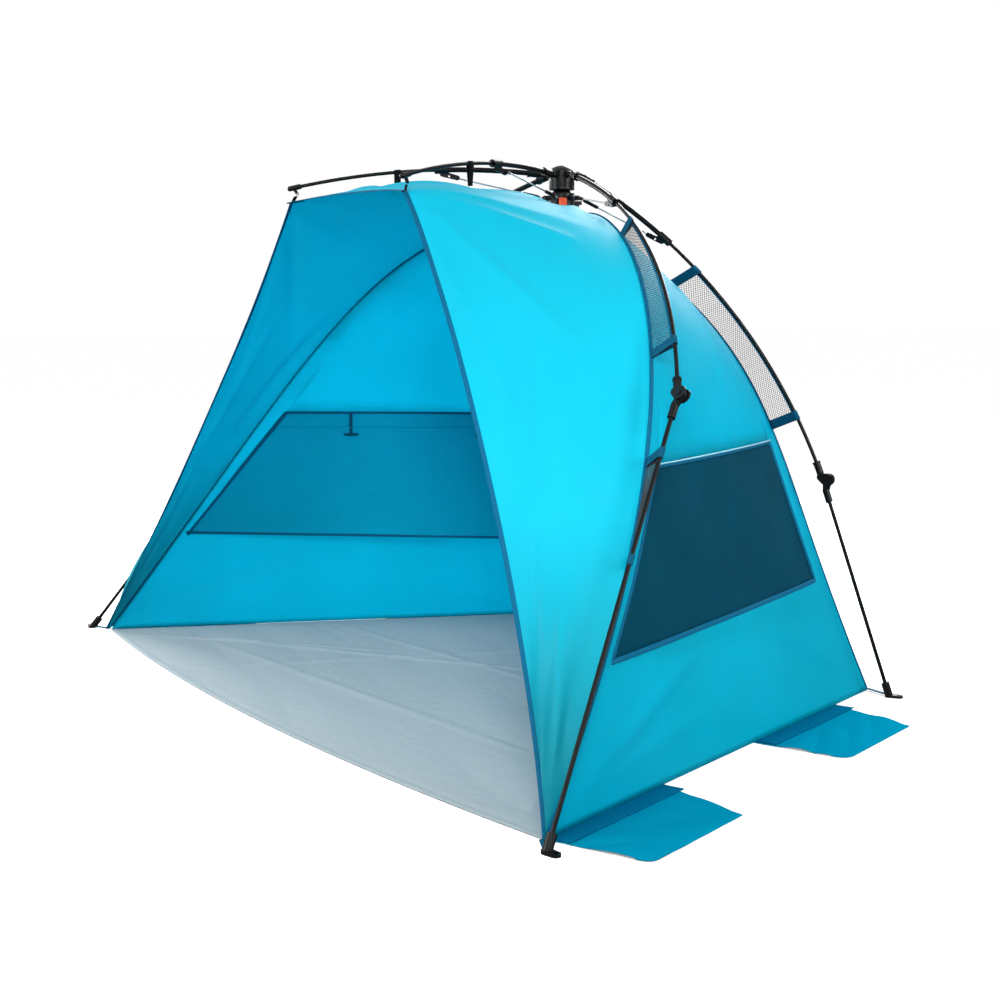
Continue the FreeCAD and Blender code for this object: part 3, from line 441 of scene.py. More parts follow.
def join(name, objects):
    """One object from several, with each mesh's own points, faces and UV map."""
    bpy.ops.object.select_all(action="DESELECT")
    for o in objects:
        o.select_set(True)
    bpy.context.view_layer.objects.active = objects[0]
    bpy.ops.object.join()
    objects[0].name = name
    objects[0].data.name = name
    return objects[0]


# ---- materials ----------------------------------------------------------------------------------
def linear(hex_colour):
    """Linear RGBA of an sRGB hex colour: c / 12.92 below 0.04045, else ((c + 0.055) / 1.055)^2.4."""
    c = np.array([int(hex_colour[i:i + 2], 16) for i in (1, 3, 5)]) / 255
    c = np.where(c <= 0.04045, c / 12.92, ((c + 0.055) / 1.055) ** 2.4)
    return (*c.tolist(), 1.0)


def start_material(name):
    """A new material with its node tree, its shader and the shader's output."""
    mat = bpy.data.materials.new(name)
    mat.use_nodes = True
    tree = mat.node_tree
    return mat, tree, tree.nodes["Principled BSDF"], tree.nodes["Material Output"]


def add(tree, kind, inputs=None, **settings):
    """Adds a node, sets its properties, and sets or links its inputs."""
    made = tree.nodes.new(kind)
    for key, value in settings.items():
        setattr(made, key, value)
    for key, value in (inputs or {}).items():
        if isinstance(value, bpy.types.NodeSocket):
            tree.links.new(value, made.inputs[key])
        else:
            made.inputs[key].default_value = value
    return made


def shade(hex_colour, factor):
    """The linear colour with its red, green and blue times a factor."""
    r, g, b, a = linear(hex_colour)
    return (r * factor, g * factor, b * factor, a)


def woven(tree, pitch, strength, distance):
    """Plain weave as bump: the product of two sines, one along each of the cloth's threads."""
    uv = add(tree, "ShaderNodeUVMap", uv_map="cloth").outputs[0]
    turn = add(tree, "ShaderNodeVectorMath", {0: uv, 1: (math.pi / pitch,) * 3}, operation="MULTIPLY")
    parts = add(tree, "ShaderNodeSeparateXYZ", {0: turn.outputs[0]})
    warp = add(tree, "ShaderNodeMath", {0: parts.outputs[0]}, operation="SINE")
    weft = add(tree, "ShaderNodeMath", {0: parts.outputs[1]}, operation="SINE")
    cross = add(tree, "ShaderNodeMath", {0: warp.outputs[0], 1: weft.outputs[0]}, operation="MULTIPLY")
    return uv, add(tree, "ShaderNodeBump", {
        "Height": cross.outputs[0], "Strength": strength, "Distance": distance})


def coated_polyester(name, colour, glow, rough=0.5, seed=0.0, shine=0.02, foot=0.80):
    """Taffeta of fine polyester thread with a thin polyurethane coat on the inside: a dull satin
    sheen on a smooth, slightly crinkled face, light that comes through from behind (glow), and
    painted shade that darkens the colour to the share foot at the ground, where less light falls."""
    mat, tree, shader, out = start_material(name)
    # threads are 0.1 mm apart in the real cloth; 1.6 mm is drawn so that the weave shows close up
    uv, weave = woven(tree, 0.0016, 0.10, 0.0002)
    crinkle = add(tree, "ShaderNodeTexNoise", {
        "Vector": uv, "Scale": 46.0, "Detail": 5.0, "Roughness": 0.55, "Distortion": 0.4})
    soft = add(tree, "ShaderNodeBump", {
        "Height": crinkle.outputs["Fac"], "Strength": 0.16, "Distance": 0.004,
        "Normal": weave.outputs[0]})
    place = add(tree, "ShaderNodeTexCoord").outputs["Object"]
    patch = add(tree, "ShaderNodeTexNoise", {
        "Vector": place, "Scale": 3.2 + seed, "Detail": 3.0, "Roughness": 0.5})
    tone = add(tree, "ShaderNodeMix", {
        "Factor": patch.outputs["Fac"], 6: shade(colour, 0.90), 7: shade(colour, 1.08)},
        data_type="RGBA")
    # painted shade: the colour is scaled from foot at the ground up to full at half a metre, for the
    # dimmer light there
    height = add(tree, "ShaderNodeSeparateXYZ", {0: place}).outputs["Z"]
    low = add(tree, "ShaderNodeMapRange", {
        "Value": height, "From Min": 0.0, "From Max": 0.5, "To Min": foot, "To Max": 1.0})
    deep = add(tree, "ShaderNodeVectorMath", {0: tone.outputs[2], "Scale": low.outputs[0]},
               operation="SCALE")
    tree.links.new(deep.outputs[0], shader.inputs["Base Color"])
    tree.links.new(soft.outputs[0], shader.inputs["Normal"])
    shader.inputs["Roughness"].default_value = rough
    shader.inputs["IOR"].default_value = 1.46
    shader.inputs["Specular IOR Level"].default_value = shine
    through = add(tree, "ShaderNodeBsdfTranslucent", {
        "Color": deep.outputs[0], "Normal": soft.outputs[0]})
    both = add(tree, "ShaderNodeMixShader", {
        0: glow, 1: shader.outputs[0], 2: through.outputs[0]})
    tree.links.new(both.outputs[0], out.inputs["Surface"])
    return mat


def oxford_groundsheet(name, colour):
    """Coated groundsheet: a coarser plain weave under a matt polyurethane face, faintly mottled."""
    mat, tree, shader, _ = start_material(name)
    uv, weave = woven(tree, 0.0024, 0.16, 0.0003)
    crinkle = add(tree, "ShaderNodeTexNoise", {
        "Vector": uv, "Scale": 26.0, "Detail": 6.0, "Roughness": 0.6, "Distortion": 0.6})
    soft = add(tree, "ShaderNodeBump", {
        "Height": crinkle.outputs["Fac"], "Strength": 0.30, "Distance": 0.006,
        "Normal": weave.outputs[0]})
    mottle = add(tree, "ShaderNodeTexNoise", {
        "Vector": uv, "Scale": 90.0, "Detail": 4.0, "Roughness": 0.7})
    tone = add(tree, "ShaderNodeMix", {
        "Factor": mottle.outputs["Fac"], 6: shade(colour, 0.84), 7: shade(colour, 1.12)},
        data_type="RGBA")
    tree.links.new(tone.outputs[2], shader.inputs["Base Color"])
    tree.links.new(soft.outputs[0], shader.inputs["Normal"])
    shader.inputs["Roughness"].default_value = 0.78
    shader.inputs["IOR"].default_value = 1.46
    return mat


def ribbed_webbing(name, colour, pitch=0.0015, rough=0.7):
    """Woven polypropylene tape: close ribs across its width, dull with a faint edge light; its colour
    is darker in the ribs' grooves and lighter on their crests, as painted shade and highlight.
    """
    mat, tree, shader, _ = start_material(name)
    uv = add(tree, "ShaderNodeUVMap", uv_map="cloth").outputs[0]
    ribs = add(tree, "ShaderNodeTexWave", {
        "Vector": uv, "Scale": 1 / pitch / 6.3, "Distortion": 0.6, "Detail": 2.0},
        bands_direction="X")
    bump = add(tree, "ShaderNodeBump", {
        "Height": ribs.outputs["Fac"], "Strength": 0.35, "Distance": 0.0004})
    # painted shade and highlight: the colour follows the ribs' height, darker in the grooves, lighter
    # on the crests
    tone = add(tree, "ShaderNodeMix", {
        "Factor": ribs.outputs["Fac"], 6: shade(colour, 0.72), 7: shade(colour, 1.15)},
        data_type="RGBA")
    tree.links.new(tone.outputs[2], shader.inputs["Base Color"])
    tree.links.new(bump.outputs[0], shader.inputs["Normal"])
    shader.inputs["Roughness"].default_value = rough
    shader.inputs["Specular IOR Level"].default_value = 0.06
    return mat


def insect_net(name, colour):
    """Fine dark knitted net: nearly closed at a distance, with a slight see-through."""
    mat, tree, shader, _ = start_material(name)
    uv, weave = woven(tree, 0.0018, 0.4, 0.0003)
    blotch = add(tree, "ShaderNodeTexNoise", {"Vector": uv, "Scale": 7.0, "Detail": 3.0})
    tone = add(tree, "ShaderNodeMix", {
        "Factor": blotch.outputs["Fac"], 6: shade(colour, 0.75), 7: shade(colour, 1.2)},
        data_type="RGBA")
    tree.links.new(tone.outputs[2], shader.inputs["Base Color"])
    tree.links.new(weave.outputs[0], shader.inputs["Normal"])
    shader.inputs["Roughness"].default_value = 0.62
    shader.inputs["Specular IOR Level"].default_value = 0.03
    shader.inputs["Alpha"].default_value = 0.92
    return mat


def plain_thread(name, colour, rough=0.6):
    """Bare polyester yarn of the open vent net: dark grey, soft, uneven along its length."""
    mat, tree, shader, _ = start_material(name)
    place = add(tree, "ShaderNodeTexCoord").outputs["Object"]
    fuzz = add(tree, "ShaderNodeTexNoise", {"Vector": place, "Scale": 900.0, "Detail": 2.0})
    tone = add(tree, "ShaderNodeMix", {
        "Factor": fuzz.outputs["Fac"], 6: shade(colour, 0.7), 7: shade(colour, 1.15)},
        data_type="RGBA")
    tree.links.new(tone.outputs[2], shader.inputs["Base Color"])
    shader.inputs["Roughness"].default_value = rough
    return mat


def moulded(name, colour, rough, grain, depth, coat=0.0):
    """Injection-moulded plastic: even colour, fine spark-eroded grain, soft broad highlights."""
    mat, tree, shader, _ = start_material(name)
    place = add(tree, "ShaderNodeTexCoord").outputs["Object"]
    pits = add(tree, "ShaderNodeTexNoise", {"Vector": place, "Scale": grain, "Detail": 3.0})
    bump = add(tree, "ShaderNodeBump", {
        "Height": pits.outputs["Fac"], "Strength": 0.25, "Distance": depth})
    wear = add(tree, "ShaderNodeTexNoise", {"Vector": place, "Scale": 60.0, "Detail": 4.0})
    spread = add(tree, "ShaderNodeMapRange", {
        "Value": wear.outputs["Fac"], "To Min": rough * 0.8, "To Max": rough * 1.25})
    tone = add(tree, "ShaderNodeMix", {
        "Factor": wear.outputs["Fac"], 6: shade(colour, 0.85), 7: shade(colour, 1.2)},
        data_type="RGBA")
    tree.links.new(tone.outputs[2], shader.inputs["Base Color"])
    tree.links.new(spread.outputs[0], shader.inputs["Roughness"])
    tree.links.new(bump.outputs[0], shader.inputs["Normal"])
    shader.inputs["Specular IOR Level"].default_value = 0.2
    shader.inputs["Coat Weight"].default_value = coat
    return mat


def glass_fibre(name):
    """Pultruded glass-fibre rod under black lacquer: smooth and glossy, with long faint fibres."""
    mat, tree, shader, _ = start_material(name)
    place = add(tree, "ShaderNodeTexCoord").outputs["Object"]
    fibres = add(tree, "ShaderNodeTexNoise", {"Vector": place, "Scale": 240.0, "Detail": 3.0})
    spread = add(tree, "ShaderNodeMapRange", {
        "Value": fibres.outputs["Fac"], "To Min": 0.22, "To Max": 0.42})
    tone = add(tree, "ShaderNodeMix", {
        "Factor": fibres.outputs["Fac"], 6: linear("#040405"), 7: linear("#0c0d0f")},
        data_type="RGBA")
    tree.links.new(tone.outputs[2], shader.inputs["Base Color"])
    tree.links.new(spread.outputs[0], shader.inputs["Roughness"])
    shader.inputs["Specular IOR Level"].default_value = 0.14
    return mat


def drawn_steel(name, colour, rough):
    """Drawn and zinc-plated steel wire: metal with fine lengthwise marks."""
    mat, tree, shader, _ = start_material(name)
    place = add(tree, "ShaderNodeTexCoord").outputs["Object"]
    marks = add(tree, "ShaderNodeTexNoise", {"Vector": place, "Scale": 300.0, "Detail": 3.0})
    spread = add(tree, "ShaderNodeMapRange", {
        "Value": marks.outputs["Fac"], "To Min": rough * 0.75, "To Max": rough * 1.3})
    shader.inputs["Base Color"].default_value = linear(colour)
    shader.inputs["Metallic"].default_value = 1.0
    tree.links.new(spread.outputs[0], shader.inputs["Roughness"])
    return mat


MATERIALS = {}


def make_materials():
    """Makes every finish, with the colours that the user has set."""
    c = bpy.context.scene.tent_colours
    taffeta = "coated polyester taffeta"
    MATERIALS.update({
        # foot is the share of painted shade at the ground: canopy 0.50, walls 0.92, the other cloths
        # 0.80
        "canopy": coated_polyester(f"{taffeta}, cyan", c.canopy, 0.46, shine=0.22, foot=0.50),
        "wall": coated_polyester(f"{taffeta}, cyan, walls", c.canopy, 0.60, seed=1.3, shine=0.10,
                                 foot=0.92),
        # the flaps' deeper blue is painted shade on the canopy's cyan cloth
        "flap": coated_polyester(f"{taffeta}, blue, flaps", c.flap, 0.12, 0.55, 2.1),
        # painted shade: the sand flaps are the canopy's cloth, given a deeper blue for the dimmer
        # light on them near the ground
        "sand": coated_polyester(f"{taffeta}, blue, sand flaps", "#028db0", 0.05, 0.8, 0.7, 0.0),
        # painted shade: the doubled hem is the sand flaps' cloth in a darker blue, for the shade it
        # lies in
        "hem": coated_polyester(f"{taffeta}, doubled hem", "#02668c", 0.05, 0.8, 0.3, 0.0),
        "floor": oxford_groundsheet("coated oxford groundsheet, grey", c.floor),
        "tape": ribbed_webbing("polyester binding tape, blue", c.tape, 0.0012, 0.6),
        "webbing": ribbed_webbing("polypropylene webbing, navy", c.webbing),
        "strap": ribbed_webbing("elastic strap, black", "#101114", 0.0018),
        "piping": ribbed_webbing("window piping, pale", "#8fc9da", 0.0012, 0.5),
        # the net's dark teal is its dark yarn together with painted shade of the blue flap behind it
        "window": insect_net("knitted insect net, dark", "#003c50"),
        "net": plain_thread("polyester net yarn, grey", c.net),
        "rod": glass_fibre("lacquered glass-fibre rod, black"),
        "nylon": moulded("moulded nylon, black", "#08090b", 0.34, 1800.0, 0.0002),
        "button": moulded("moulded acetal, orange-red", c.button, 0.30, 900.0, 0.0001, 0.2),
        "steel": drawn_steel("zinc-plated steel wire", "#a9acb0", 0.34),
        "pin": drawn_steel("bright steel pin", "#c9cbcd", 0.22),
    })


def finish_frame():
    """Puts a finish on every CAD node that stays in view."""
    finishes = {
        "upper_hub": "nylon", "hub_pins": "pin", "runner": "nylon", "runner_pins": "pin",
        "apex_clip": "nylon", "release_button_right": "button", "release_button_left": "button",
    }
    for side in PLACED:
        for kind in ("front", "rear"):
            finishes[f"{kind}_{side}_upper_pole"] = "rod"
            finishes[f"{kind}_{side}_lower_leg"] = "rod"
            finishes[f"{kind}_{side}_knuckle"] = "nylon"
            finishes[f"{kind}_{side}_leg_ends"] = "nylon"
        finishes[f"visor_{side}_arm"] = "rod"
        finishes[f"visor_{side}_arm_tip"] = "nylon"
        for kind in ("front", "rear", "visor"):
            finishes[f"{kind}_{side}_pole_mounts"] = "nylon"
            finishes[f"{kind}_{side}_strut"] = "steel"
    for node, finish in finishes.items():
        mesh = NODES[node].data
        mesh.materials.clear()
        mesh.materials.append(MATERIALS[finish])


def build_sleeves():
    """Black sleeves on the struts' ends at the runner: round tubes along each strut's own line,
    which is the direction that its points spread along most, from 16 to 56 mm from its end."""
    rings = np.arange(10)
    for side in PLACED:
        for kind in ("front", "rear", "visor"):
            node = NODES[f"{kind}_{side}_strut"]
            flat = np.empty(3 * len(node.data.vertices))
            node.data.vertices.foreach_get("co", flat)
            at = np.array(node.matrix_world)
            points = flat.reshape(-1, 3) @ at[:3, :3].T + at[:3, 3]
            centre = points.mean(axis=0)
            along = np.linalg.svd(points - centre, full_matrices=False)[2][0]
            along = along * np.sign((centre - np.array([0.0, HUB_Y, 1.12])) @ along)
            reach = (points - centre) @ along
            near = centre + along * reach.min()
            line = near + np.linspace(0.016, 0.056, len(rings))[:, None] * along
            side_way = unit(np.cross(along, UP))
            girth = np.where(np.abs(rings - rings.mean()) > 4, 0.0034, 0.0042)
            sleeve = tapered(f"{kind}_{side}_strut_sleeve", line, side_way,
                             np.cross(side_way, along), girth)
            finish_piece(sleeve, MATERIALS["nylon"], f"{kind}_{side}_strut",
                         squash=False)


# ---- canopy and walls ---------------------------------------------------------------------------
TENSION = [
    # (start, end, width, height) of each fold: from the visor's corner, the foot and the shoulder
    ((0.27, -0.40, 1.10), (0.62, -0.20, 0.75), 0.020, 0.0092),
    ((0.27, -0.40, 1.10), (0.45, -0.10, 1.02), 0.018, 0.008),
    ((0.28, -0.41, 1.08), (0.60, -0.34, 0.62), 0.014, 0.0069),
    ((1.04, -0.58, 0.03), (0.86, -0.42, 0.42), 0.016, 0.0103),
    ((1.04, -0.58, 0.03), (0.93, -0.48, 0.34), 0.012, 0.008),
    ((1.04, -0.59, 0.02), (0.80, -0.46, 0.50), 0.012, -0.0069),
    ((0.62, -0.10, 0.85), (0.80, -0.30, 0.50), 0.030, 0.0115),
    ((0.52, -0.30, 0.80), (0.74, -0.42, 0.48), 0.025, -0.0092),
    ((0.05, 0.17, 1.09), (0.34, -0.05, 1.08), 0.020, 0.0069),
    ((0.05, 0.15, 1.09), (0.22, -0.20, 1.13), 0.018, 0.008),
    ((0.16, -0.19, 1.15), (0.05, -0.36, 1.12), 0.020, 0.0069),
]


def canopy_surface(rows=70, columns=170):
    """Grid of the whole front canopy from its front edge to its back seam. The right half is the
    roof's and the wing's cubic surfaces side by side; the left half mirrors it. Tension folds and
    slow waves stand on it along its normal, and fade out at the seam."""
    roof, wing = canopy_nets()
    across = np.linspace(0, 1, columns)
    a = np.linspace(0, 1, rows)[:, None]
    on_roof = on_net(roof, a, np.clip(across / ROOF_SHARE, 0, 1)[None])
    on_wing = on_net(wing, a, np.clip((across - ROOF_SHARE) / (1 - ROOF_SHARE), 0, 1)[None])
    right = np.where((across < ROOF_SHARE)[None, :, None], on_roof, on_wing)
    size = bpy.context.scene.tent_sizes.folds
    fade = smooth(np.minimum((1 - a) / 0.10, 1)) * smooth((1.0 - across) / 0.06)[None]
    height = hills(right, TENSION) + waves(right, seed=7, wavelength=0.42, rise=0.0022)
    ends = smooth(a / 0.04) * 0.8 + 0.2
    right = right + normals_of(right) * (height * fade * ends * size)[..., None] * -facing(right)
    right[:, 0, 0] = 0
    return np.concatenate([mirror(right[:, :0:-1]), right], axis=1)


def facing(points):
    """1 where a grid's normals lean towards the middle of the tent, -1 where they lean out."""
    centre = points.reshape(-1, 3).mean(axis=0)
    return 1.0 if np.mean(normals_of(points) @ (INSIDE - centre)) > 0 else -1.0


def build_canopy():
    """Roof and wings in one sheet, which hangs between the front poles, and its front hem's tape."""
    sizes = bpy.context.scene.tent_sizes
    grid = canopy_surface()
    outer = facing(grid[:, grid.shape[1] // 2:])
    canopy = sheet_piece("front_canopy_cloth", grid, sizes.cloth, flip=outer > 0)
    finish_piece(canopy, MATERIALS["canopy"], "tent_body", ["front_canopy"])
    inward = unit(grid[1] - grid[0])
    hem = swept("front_hem_tape", grid[0] + inward * 0.004, inward,
                np.cross(inward, unit(np.gradient(grid[0], axis=0))), tape_outline(0.010, 0.0022))
    finish_piece(hem, MATERIALS["tape"], "tent_body")


def wall_inverse(net, y, z):
    """Surface parameters at which a wall has the given y and z, found by Newton's steps: each
    takes the slopes over a small change h and solves two linear equations for the next guess."""
    a, b = np.full(y.shape, 0.5), np.full(y.shape, 0.75)
    h = 1e-4
    for _ in range(30):
        here = on_net(net, a, b)
        da = (on_net(net, a + h, b) - here) / h
        db = (on_net(net, a, b + h) - here) / h
        ry, rz = y - here[..., 1], z - here[..., 2]
        det = da[..., 1] * db[..., 2] - db[..., 1] * da[..., 2]
        a = np.clip(a + (ry * db[..., 2] - db[..., 1] * rz) / det, 0.0, 1.0)
        b = np.clip(b + (da[..., 1] * rz - ry * da[..., 2]) / det, 0.0, 1.0)
    return np.stack([a, b], axis=-1)


def window_edges(net, grow, n):
    """The window's four edges in the wall's parameters: straight when seen from the side."""
    centre = WINDOW.mean(axis=0)
    corners = WINDOW + unit(WINDOW - centre) * grow
    t = np.linspace(0, 1, n)[:, None]
    lines = [corners[i] * (1 - t) + corners[(i + 1) % 4] * t for i in range(4)]
    return [wall_inverse(net, line[:, 0], line[:, 1]) for line in lines]


WALL_FOLDS = [
    ((0.30, 0.15, 1.00), (0.62, -0.05, 0.72), 0.018, 0.0057),
    ((0.26, 0.28, 0.94), (0.60, 0.20, 0.62), 0.020, 0.0057),
    ((1.00, -0.52, 0.05), (0.80, -0.05, 0.24), 0.016, 0.0066),
    ((1.02, -0.55, 0.03), (0.86, 0.00, 0.12), 0.012, 0.0057),
    ((0.56, 0.60, 0.05), (0.70, 0.25, 0.22), 0.014, 0.0066),
    ((0.46, 0.56, 0.48), (0.50, 0.44, 0.70), 0.012, 0.0057),
    ((0.66, -0.05, 0.66), (0.44, 0.40, 0.62), 0.012, 0.0047),
    ((0.78, -0.18, 0.64), (0.50, 0.30, 0.80), 0.016, 0.0057),
]


def wall_fade(a, b):
    """1 inside a wall and 0 at its edges, over a share of 0.08 at its seams and 0.05 at its ends."""
    return smooth(a / 0.08) * smooth((1 - a) / 0.08) * smooth((1 - b) / 0.05) * smooth(b / 0.05)


def wall_points(net, a, b):
    """Wall surface at a, b with its folds and waves, which fade out at its seams and its hem."""
    points = on_net(net, a, b)
    lift = hills(points, WALL_FOLDS) + waves(points, seed=11, wavelength=0.36, rise=0.0010)
    size = bpy.context.scene.tent_sizes.folds
    return points + WALL_OUT * (lift * wall_fade(a, b) * size)[..., None]


def wall_panels(net, steps=34, depth=22):
    """Four panels round the window: each runs from one side of the parameter square to one edge of
    the window, outer * (1 - t) + window * t, evenly in t."""
    edges = window_edges(net, 0.0, steps)
    s = np.linspace(0, 1, steps)
    zero, one = np.zeros(steps), np.ones(steps)
    outer = [np.stack(p, axis=-1) for p in ((s, one), (one, 1 - s), (1 - s, zero), (zero, s))]
    t = np.linspace(0, 1, depth)[:, None, None]
    return [wall_points(net, *np.moveaxis(o * (1 - t) + e * t, -1, 0))
            for o, e in zip(outer, edges)]


def window_surface(net, grow, n=40, rows=28):
    """Grid inside the window: the mean of the two ways to fill between its four edges, less the
    bilinear surface of its corners (a Coons patch) in the wall's parameters."""
    low, front, top, back = window_edges(net, grow, n)
    top, back = top[::-1], back[::-1]
    t = np.linspace(0, 1, rows)
    pick = np.linspace(0, n - 1, rows)
    left = np.stack([np.interp(pick, np.arange(n), back[:, k]) for k in (0, 1)], axis=-1)
    right = np.stack([np.interp(pick, np.arange(n), front[:, k]) for k in (0, 1)], axis=-1)
    s = np.linspace(0, 1, n)[None, :, None]
    t = t[:, None, None]
    grid = low * (1 - t) + top * t + left[:, None] * (1 - s) + right[:, None] * s
    grid = grid - (low[0] * (1 - s) * (1 - t) + low[-1] * s * (1 - t)
                   + top[0] * (1 - s) * t + top[-1] * s * t)
    return wall_points(net, grid[..., 0], grid[..., 1])


def build_walls():
    """Side walls of four welded panels, and their windows: a net just inside the wall, a binding
    all round it and a pale piping along its top."""
    sizes = bpy.context.scene.tent_sizes
    net = side_net()
    panels = wall_panels(net)
    for side, at in PLACED.items():
        parts = []
        for k, panel in enumerate(panels):
            flip = (facing(panel) > 0) != (side == "left")
            parts.append(grid_piece(f"panel_{side}_{k}", at(panel), flip))
        wall = join(f"side_wall_cloth_{side}", parts)
        weld(wall)
        thicken(wall, sizes.cloth)
        finish_piece(wall, MATERIALS["wall"], "tent_body", [f"side_wall_{side}"])
        pane = window_surface(net, 0.004) - WALL_OUT * 0.0014
        flip = (facing(pane) > 0) != (side == "left")
        mesh = sheet_piece(f"window_net_{side}", at(pane), 0.0005, flip=flip)
        finish_piece(mesh, MATERIALS["window"], "tent_body", [f"window_mesh_{side}"])
        rim = np.concatenate([wall_points(net, *e[:-1].T) for e in window_edges(net, 0.003, 40)])
        along = unit(np.roll(rim, -1, axis=0) - np.roll(rim, 1, axis=0))
        border = swept(f"window_binding_{side}", at(rim + WALL_OUT * 0.0002),
                       at(np.cross(along, WALL_OUT)), at(WALL_OUT), tape_outline(0.010, 0.0026),
                       closed=True)
        finish_piece(border, MATERIALS["tape"], "tent_body")
        top = wall_points(net, *window_edges(net, 0.008, 60)[2].T)
        run = unit(np.gradient(top, axis=0))
        piping = swept(f"window_piping_{side}", at(top + WALL_OUT * 0.0022),
                       at(np.cross(run, WALL_OUT)), at(WALL_OUT), round_outline(0.0016, 8))
        finish_piece(piping, MATERIALS["piping"], "tent_body")


def build_back_wall():
    """Back wall: a cubic surface between its two seams with folds that hang from its apex."""
    net = back_net()
    a, b = np.meshgrid(np.linspace(0, 1, 70), np.linspace(0, 1, 60), indexing="ij")
    points = on_net(net, a, b)
    folds = [
        ((0.02, 0.25, 1.00), (0.25, 0.50, 0.60), 0.020, 0.0035),
        ((-0.02, 0.25, 1.00), (-0.25, 0.50, 0.60), 0.020, 0.0035),
        ((0.0, 0.25, 1.00), (0.04, 0.58, 0.45), 0.022, 0.0030),
        ((0.54, 0.62, 0.04), (0.20, 0.62, 0.30), 0.016, 0.0040),
        ((-0.54, 0.62, 0.04), (-0.20, 0.62, 0.30), 0.016, 0.0040),
    ]
    sizes = bpy.context.scene.tent_sizes
    lift = hills(points, folds) + waves(points, seed=5, wavelength=0.40, rise=0.0012)
    lift = lift * wall_fade(a, b) * sizes.folds
    points = points + np.array([0.0, 1.0, 0.15]) * lift[..., None]
    wall = sheet_piece("back_wall_cloth", points, sizes.cloth, flip=facing(points) > 0)
    finish_piece(wall, MATERIALS["wall"], "tent_body", ["back_wall"])


def build_seams():
    """Binding tape over the front and the rear seams, on both sides."""
    width = bpy.context.scene.tent_sizes.tape
    for side, at in PLACED.items():
        for kind, seam, out in (("front", FRONT_SEAM, FRONT_OUT), ("rear", REAR_SEAM, REAR_OUT)):
            path = on_curve(seam, np.linspace(0.012, 0.997, 170))
            across, up = frame_along(path, out)
            tape = swept(f"{kind}_seam_tape_{side}", at(path + up * 0.0006), at(across), at(up),
                         tape_outline(width, 0.0030))
            finish_piece(tape, MATERIALS["tape"], "tent_body")


# ---- floor, sand flaps and window flaps ---------------------------------------------------------
def build_floor():
    """Groundsheet: rows from the front edge, which bulges as a circle's arc, to the back edge, and
    columns from side to side. It lies on the ground, with low creases along and across."""
    half_front, half_back = FRONT_CORNER[0] - FLOOR_IN, REAR_CORNER[0] - FLOOR_IN
    t, s = np.meshgrid(np.linspace(0, 1, 150), np.linspace(-1, 1, 200), indexing="ij")
    radius = (half_front**2 + FLOOR_BULGE**2) / (2 * FLOOR_BULGE)
    bulge = np.sqrt(radius**2 - (s * half_front) ** 2) - (radius - FLOOR_BULGE)
    y_front = FRONT_CORNER[1] - bulge
    y = y_front * (1 - t) + REAR_CORNER[1] * t
    along = np.clip((y - FRONT_CORNER[1]) / (REAR_CORNER[1] - FRONT_CORNER[1]), 0, 1)
    x = s * (half_front * (1 - along) + half_back * along)
    points = np.stack([x, y, np.zeros_like(x)], axis=-1)
    creases = [
        ((-0.9, -0.50, 0), (0.3, 0.30, 0), 0.010, 0.0030),
        ((0.9, -0.52, 0), (-0.2, 0.35, 0), 0.012, 0.0028),
        ((-0.5, -0.64, 0), (-0.1, 0.50, 0), 0.009, 0.0022),
        ((0.35, -0.64, 0), (0.2, 0.55, 0), 0.010, 0.0022),
        ((-1.0, -0.45, 0), (0.9, -0.30, 0), 0.012, 0.0022),
        ((-0.8, -0.05, 0), (0.8, 0.10, 0), 0.011, 0.0022),
        ((-0.95, -0.58, 0), (-0.4, -0.10, 0), 0.008, 0.0030),
        ((0.95, -0.58, 0), (0.5, -0.05, 0), 0.008, 0.0030),
    ]
    lift = hills(points, creases) + np.abs(waves(points, seed=21, wavelength=0.30, rise=0.0011))
    fade = smooth((1 - np.abs(s)) / 0.05) * smooth(t / 0.03) * smooth((1 - t) / 0.05)
    points[..., 2] = 0.0011 + lift * fade * bpy.context.scene.tent_sizes.folds
    floor = sheet_piece("groundsheet_cloth", points, 0.0012)
    finish_piece(floor, MATERIALS["floor"], "tent_body", ["groundsheet"])
    edge = points[0]
    inward = unit(points[1] - points[0])
    hem = swept("groundsheet_hem", edge + inward * 0.007 + UP * 0.0012, inward, UP,
                tape_outline(0.016, 0.0016))
    finish_piece(hem, MATERIALS["floor"], "tent_body")


